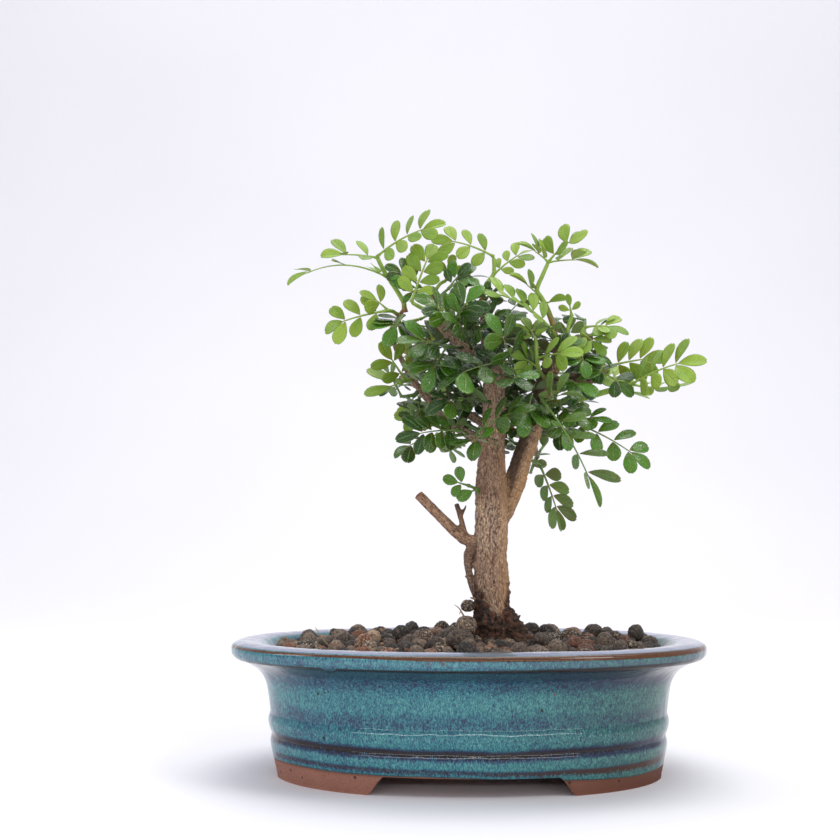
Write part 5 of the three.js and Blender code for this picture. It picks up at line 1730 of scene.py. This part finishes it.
def leaf_material(name, looks):
    """Leaflets, light or dark green, paler beneath, glossy above, with fine veins and a thin rim of
    another green; stalks are green, rusty where leaflets sit and towards the foot of a twig. Leaflets
    and stalks deep within the crown are painted darker as shade."""
    material, tree = new_material(name)
    young = name == "young_leaf"
    vector = tree.place()[0]
    tone = tree.value("tone")
    under = tree.value("under")
    stem = tree.value("stem")
    length = tree.value("length")
    across = tree.value("across")
    patch = tree.grain(vector, 3, 2)
    veins = tree.group(veins_group(), length=length, across=across)
    kind = "young" if young else "old"
    first, second, pale, rim, stalk = (
        getattr(looks, f"{kind}{ending}") for ending in ("", "_light", "_under", "_rim", "_stalk")
    )
    streak = tree.grain(tree.scaled(vector, 1, 1, 0.35), 1.3, 2)
    foot = (length + streak * 0.5).step(0.75, 0.3) * stem.step(0.8, 0.95)
    colour = tree.coats(
        first,
        ((tone * 0.7 + patch * 0.5).step(0.25, 0.95), second),
        (tone.step(0.74, 0.92) * 0.65, looks.young_light if young else looks.old_fresh),
        (veins["Midrib"] * 0.35, pale),
        (veins["Side"] * 0.12, pale),
        (under * 0.7, pale),
        (abs(across).step(0.84, 0.97) * 0.7, rim),
        (length.step(0.09, 0.02), looks.rusty),
        (stem.step(0.1, 0.5), tree.mix(foot, stalk, looks.rusty if young else looks.twig)),
        # Painted shade within the crown
        (tree.value("inner") * (0.3 if young else 0.62), looks.deep_shade),
    )
    spots = tree.grain(vector, 1.2, 2).step(0.4, 0.6) * 0.14
    rough = (0.32 if young else 0.15) + spots + under * 0.3
    height = patch * 0.7 - (veins["Midrib"] + veins["Side"]) * 0.5
    shine = 0.4 if young else 0.55
    return finish_material(
        material, tree, colour, rough, height, depth=0.26,
        subsurface_weight=0.1, subsurface_scale=0.001, specular_ior_level=shine,
    )


# The drain meshes


def build_drain_meshes(looks):
    """The two squares of plastic mesh keep their solids and get their finish."""
    material, tree = new_material("drain_plastic")
    vector = tree.place()[0]
    grit = tree.grain(vector, 0.4, 3)
    colour = tree.mix(tree.grain(vector, 4, 2), looks.plastic, looks.worn_plastic)
    finish_material(material, tree, colour, 0.45 + grit * 0.2, grit, depth=0.1)
    for name in ("drain_mesh_left", "drain_mesh_right"):
        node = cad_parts[name]
        node.data.materials.clear()
        node.data.materials.append(material)


# The stage

# The camera stands where the photograph puts it: place in metres, angles in degrees, lens in millimetres
CAMERA_PLACE = (-0.010, -0.373, 0.0696)
CAMERA_TILT = 6.99
CAMERA_TURN = 0.87
CAMERA_LENS = 47.2
CAMERA_SENSOR = 36
CAMERA_NEAREST = 0.01

# The floor in metres: Y and height of its start, of the end of its flat and of the wall's top, where the
# middle of its bend lies and how wide that is, half the floor's width and how many strips it has
FLOOR_START = (-2.2, 0.0)
FLOOR_FLAT_END = (0.55, 0.0)
FLOOR_BEND_START = 0.75
FLOOR_BEND = 0.7
FLOOR_WALL_TOP = (1.45, 2.6)
FLOOR_HALF = 2.6
FLOOR_STRIPS = 9

# Each light: its power's property, place, aim and size in metres, and colour
LIGHTS = {
    "key_window": ("key_power", (0.8, -0.5, 1.1), (0, 0, 0.08), (0.45, 0.45), (1, 0.98, 0.95)),
    "left_window": ("fill_power", (-1.1, -0.1, 0.8), (0, 0, 0.1), (0.4, 0.5), (0.96, 0.98, 1)),
    "front_strip": ("strip_power", (-0.02, -0.95, 0.27), (-0.01, 0, 0.02), (2.0, 0.03), (1, 1, 1)),
    "top_panel": ("top_power", (0.1, 0.15, 1.25), (0, 0, 0.1), (0.8, 0.8), (1, 1, 1)),
    "wall_wash": ("wall_power", (0, 0.7, 1.9), (0, 1.45, 0.9), (2.6, 0.5), (1, 1, 1)),
}


def floor_mesh():
    """A pale floor that curves up into a backdrop: a profile of a flat, a quarter turn and a wall."""
    turn = np.radians(np.linspace(0, 90, 25))
    curve = np.column_stack([FLOOR_BEND_START + FLOOR_BEND * np.sin(turn), FLOOR_BEND * (1 - np.cos(turn))])
    profile = np.concatenate([[FLOOR_START, FLOOR_FLAT_END], curve, [FLOOR_WALL_TOP]])
    points = np.empty((FLOOR_STRIPS, len(profile), 3))
    points[..., 0] = np.linspace(-FLOOR_HALF, FLOOR_HALF, FLOOR_STRIPS)[:, None]
    points[..., 1:] = profile
    index = np.arange(FLOOR_STRIPS * len(profile)).reshape(FLOOR_STRIPS, -1)
    quads = np.stack([index[:-1, :-1], index[1:, :-1], index[1:, 1:], index[:-1, 1:]], -1).reshape(-1, 4)
    shape = Shape()
    shape.add(points / MM, [quads])
    return shape.mesh("studio_floor")


def add_light(name, place, aim, size, power, colour):
    """A soft rectangular light that looks at a point; places are in metres."""
    light = bpy.data.lights.new(name, "AREA")
    light.shape = "RECTANGLE"
    light.size, light.size_y = size
    light.energy = power
    light.color = colour
    way = np.array(aim, float) - place
    across = unit(np.cross(way, (0, 0, 1)))
    back = -unit(way)
    up = np.cross(back, across)
    rows = [(across[k], up[k], back[k], place[k]) for k in range(3)]
    new_object(name, light).matrix_world = Matrix([*rows, (0, 0, 0, 1)])


def build_stage(looks):
    """Floor, lights, sky and camera."""
    mesh = floor_mesh()
    material, tree = new_material("studio_floor")
    vector = tree.place()[0]
    colour = tree.mix(tree.grain(vector, 400, 1), looks.floor, looks.floor_shade)
    finish_material(material, tree, colour, 0.85)
    mesh.materials.append(material)
    new_object("studio_floor", mesh)
    for name, (power, place, aim, size, colour) in LIGHTS.items():
        add_light(name, place, aim, size, getattr(looks, power), colour)

    world = bpy.data.worlds.new("studio_sky")
    bpy.context.scene.world = world
    world.use_nodes = True
    background = world.node_tree.nodes["Background"]
    background.inputs["Color"].default_value = (*looks.sky, 1)
    background.inputs["Strength"].default_value = looks.sky_power

    camera = bpy.data.cameras.new("photo_camera")
    camera.lens = CAMERA_LENS
    camera.sensor_width = CAMERA_SENSOR
    camera.clip_start = CAMERA_NEAREST
    eye = new_object("photo_camera", camera)
    eye.location = CAMERA_PLACE
    eye.rotation_euler = (math.radians(90 + CAMERA_TILT), 0, math.radians(CAMERA_TURN))
    bpy.context.scene.camera = eye
    bpy.context.scene.view_settings.view_transform = "Standard"


# The add-on: what a user may change, one button for each group of pieces, and the panel


def colour_of(name, red, green, blue):
    """A colour property with its default given as display values."""
    return bpy.props.FloatVectorProperty(
        name=name, description=f"Colour: {name.lower()}", subtype="COLOR", size=3, min=0, max=1,
        default=paint(red, green, blue),
    )


def number_of(name, description, default, low, high, **more):
    """A number property with its limits."""
    return bpy.props.FloatProperty(
        name=name, description=description, default=default, min=low, max=high, **more
    )


class PotLooks(bpy.types.PropertyGroup):
    """Finish of the pot."""

    teal: colour_of("Teal", 56, 124, 132)
    aqua: colour_of("Aqua", 96, 158, 154)
    sea_green: colour_of("Sea green", 62, 104, 92)
    deep_green: colour_of("Deep green", 38, 68, 70)
    blue: colour_of("Blue break", 42, 77, 107)
    navy: colour_of("Navy streak", 36, 35, 64)
    lavender: colour_of("Rim lavender", 138, 142, 164)
    # Painted shade for the pot's inner wall, also laid on a patch of the rim's top
    inner_wall_shade: colour_of("Inner wall grey", 84, 98, 104)
    dark_brown: colour_of("Dark brown line", 28, 13, 9)
    edge_brown: colour_of("Edge brown", 88, 46, 8)
    line_brown: colour_of("Lower line brown", 66, 38, 20)
    rust: colour_of("Rust line", 104, 56, 34)
    clay: colour_of("Clay", 138, 90, 74)
    pale_clay: colour_of("Pale clay", 158, 110, 92)
    glaze_roughness: number_of(
        "Glaze roughness", "How blurred the glaze reflects", 0.08, 0, 1, subtype="FACTOR"
    )


class SoilLooks(bpy.types.PropertyGroup):
    """Sizes and finish of the clay balls."""

    dark: colour_of("Dark clay", 31, 27, 25)
    brown: colour_of("Brown clay", 86, 70, 60)
    rust: colour_of("Rust clay", 120, 70, 46)
    beige: colour_of("Beige dust", 196, 172, 144)
    crack: colour_of("Pit", 24, 19, 17)
    straw: colour_of("Root hair", 168, 146, 112)
    ball_low: number_of("Smallest ball", "Radius of the smallest ball in millimetres", 2.3, 1, 4)
    ball_high: number_of("Largest ball", "Radius of the largest ball in millimetres", 4.1, 2, 6)


class WoodLooks(bpy.types.PropertyGroup):
    """Finish of the trunk and branches."""

    grey_brown: colour_of("Grey-brown bark", 184, 153, 130)
    furrow: colour_of("Dark furrow", 62, 43, 34)
    tan: colour_of("Tan fleck", 238, 206, 166)
    # Painted light: gold for the lit right side of the trunk and of the fork
    lit_gold: colour_of("Golden side", 204, 154, 100)
    reddish: colour_of("Reddish patch", 148, 102, 80)
    ringed: colour_of("Red-brown bark", 116, 80, 60)
    crust: colour_of("Dark crust", 27, 21, 19)
    rust: colour_of("Rust crust", 104, 62, 42)
    stub_dark: colour_of("Stub, dark", 104, 72, 54)
    stub_light: colour_of("Stub, light", 196, 154, 122)
    twig: colour_of("Thin branch", 96, 74, 56)
    cut_wood: colour_of("Cut end", 136, 84, 66)
    voxel: number_of("Skin detail", "Edge of a cell of the bark's skin in millimetres", 0.38, 0.3, 1.5)


class LeafLooks(bpy.types.PropertyGroup):
    """Colours of the leaves."""

    young: colour_of("Young leaf", 112, 152, 40)
    young_light: colour_of("Young leaf, light", 146, 180, 64)
    young_under: colour_of("Young leaf, beneath", 156, 186, 96)
    young_rim: colour_of("Young leaf, rim", 88, 118, 40)
    young_stalk: colour_of("Young stalk", 142, 172, 70)
    old: colour_of("Old leaf", 32, 70, 12)
    old_light: colour_of("Old leaf, light", 76, 118, 26)
    old_fresh: colour_of("Old leaf, fresh", 72, 134, 22)
    old_under: colour_of("Old leaf, beneath", 130, 164, 92)
    deep_shade: colour_of("Leaves within the crown", 16, 40, 10)
    old_rim: colour_of("Old leaf, rim", 84, 122, 42)
    old_stalk: colour_of("Old stalk", 104, 136, 62)
    rusty: colour_of("Rusty joint", 138, 92, 52)
    twig: colour_of("Twig", 96, 74, 50)


class MeshLooks(bpy.types.PropertyGroup):
    """Colours of the drain meshes."""

    plastic: colour_of("Plastic", 26, 27, 26)
    worn_plastic: colour_of("Worn plastic", 48, 48, 46)


class StageLooks(bpy.types.PropertyGroup):
    """Floor and light."""

    floor: colour_of("Floor", 240, 239, 243)
    floor_shade: colour_of("Floor shade", 232, 231, 236)
    sky: colour_of("Sky", 244, 244, 250)
    sky_power: number_of("Sky strength", "Light from all around", 0.66, 0, 5)
    top_power: number_of("Top power", "Power of the soft light above", 6.0, 0, 200, unit="POWER")
    key_power: number_of("Key power", "Power of the window at the right", 5.0, 0, 200, unit="POWER")
    fill_power: number_of("Fill power", "Power of the window at the left", 3.0, 0, 200, unit="POWER")
    strip_power: number_of("Strip power", "Power of the thin front light", 2.8, 0, 50, unit="POWER")
    wall_power: number_of("Wall power", "Power of the light on the backdrop", 9.5, 0, 200, unit="POWER")


class BonsaiSettings(bpy.types.PropertyGroup):
    """All settings of the bonsai."""

    pot: bpy.props.PointerProperty(type=PotLooks, name="Pot", description="Finish of the pot")
    soil: bpy.props.PointerProperty(type=SoilLooks, name="Soil", description="Clay balls")
    wood: bpy.props.PointerProperty(type=WoodLooks, name="Wood", description="Trunk and branches")
    leaves: bpy.props.PointerProperty(type=LeafLooks, name="Leaves", description="Leaves and twigs")
    meshes: bpy.props.PointerProperty(type=MeshLooks, name="Drain meshes", description="Plastic meshes")
    stage: bpy.props.PointerProperty(type=StageLooks, name="Stage", description="Floor and light")


class BONSAI_OT_pot(bpy.types.Operator):
    """Build the glazed pot"""

    bl_idname = "bonsai.pot"
    bl_label = "Glazed pot"

    def execute(self, context):
        build_pot(context.scene.bonsai.pot)
        return {"FINISHED"}


class BONSAI_OT_drain_meshes(bpy.types.Operator):
    """Finish the plastic meshes over the drain holes"""

    bl_idname = "bonsai.drain_meshes"
    bl_label = "Drain meshes"

    def execute(self, context):
        build_drain_meshes(context.scene.bonsai.meshes)
        return {"FINISHED"}


class BONSAI_OT_soil(bpy.types.Operator):
    """Build the mound of clay balls"""

    bl_idname = "bonsai.soil"
    bl_label = "Clay balls"

    def execute(self, context):
        build_soil(context.scene.bonsai.soil)
        return {"FINISHED"}


class BONSAI_OT_wood(bpy.types.Operator):
    """Build the trunk and the branches with their bark"""

    bl_idname = "bonsai.wood"
    bl_label = "Wood"

    def execute(self, context):
        build_wood(context.scene.bonsai.wood)
        return {"FINISHED"}


class BONSAI_OT_leaves(bpy.types.Operator):
    """Build the twigs and every leaf"""

    bl_idname = "bonsai.leaves"
    bl_label = "Leaves"

    def execute(self, context):
        build_leaves(context.scene.bonsai.leaves)
        return {"FINISHED"}


class BONSAI_OT_stage(bpy.types.Operator):
    """Set up the floor, the lights and the camera"""

    bl_idname = "bonsai.stage"
    bl_label = "Stage"

    def execute(self, context):
        build_stage(context.scene.bonsai.stage)
        return {"FINISHED"}


STEPS = (
    BONSAI_OT_pot, BONSAI_OT_drain_meshes, BONSAI_OT_soil, BONSAI_OT_wood, BONSAI_OT_leaves,
    BONSAI_OT_stage,
)


class BONSAI_PT_pieces(bpy.types.Panel):
    """Lists the pieces and their settings"""

    bl_label = "Bonsai"
    bl_idname = "BONSAI_PT_pieces"
    bl_space_type = "VIEW_3D"
    bl_region_type = "UI"
    bl_category = "Bonsai"

    def draw(self, context):
        settings = context.scene.bonsai
        for step in STEPS:
            self.layout.operator(step.bl_idname)
        for group in ("pot", "soil", "wood", "leaves", "meshes", "stage"):
            looks = getattr(settings, group)
            box = self.layout.box()
            box.label(text=group.title())
            for key in looks.__annotations__:
                box.prop(looks, key)


CLASSES = (
    PotLooks, SoilLooks, WoodLooks, LeafLooks, MeshLooks, StageLooks, BonsaiSettings,
    *STEPS, BONSAI_PT_pieces,
)


def register():
    """Makes the settings, the operators and the panel known."""
    for item in CLASSES:
        bpy.utils.register_class(item)
    bpy.types.Scene.bonsai = bpy.props.PointerProperty(type=BonsaiSettings)


def unregister():
    """Takes them away again."""
    del bpy.types.Scene.bonsai
    for item in reversed(CLASSES):
        bpy.utils.unregister_class(item)


def corners(box):
    """The two corners of a box as plain lists."""
    return [list(corner) for corner in box]


def main():
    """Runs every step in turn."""
    register()
    for step in STEPS:
        group, name = step.bl_idname.split(".")
        getattr(getattr(bpy.ops, group), name)()


if __name__ == "__main__":
    main()
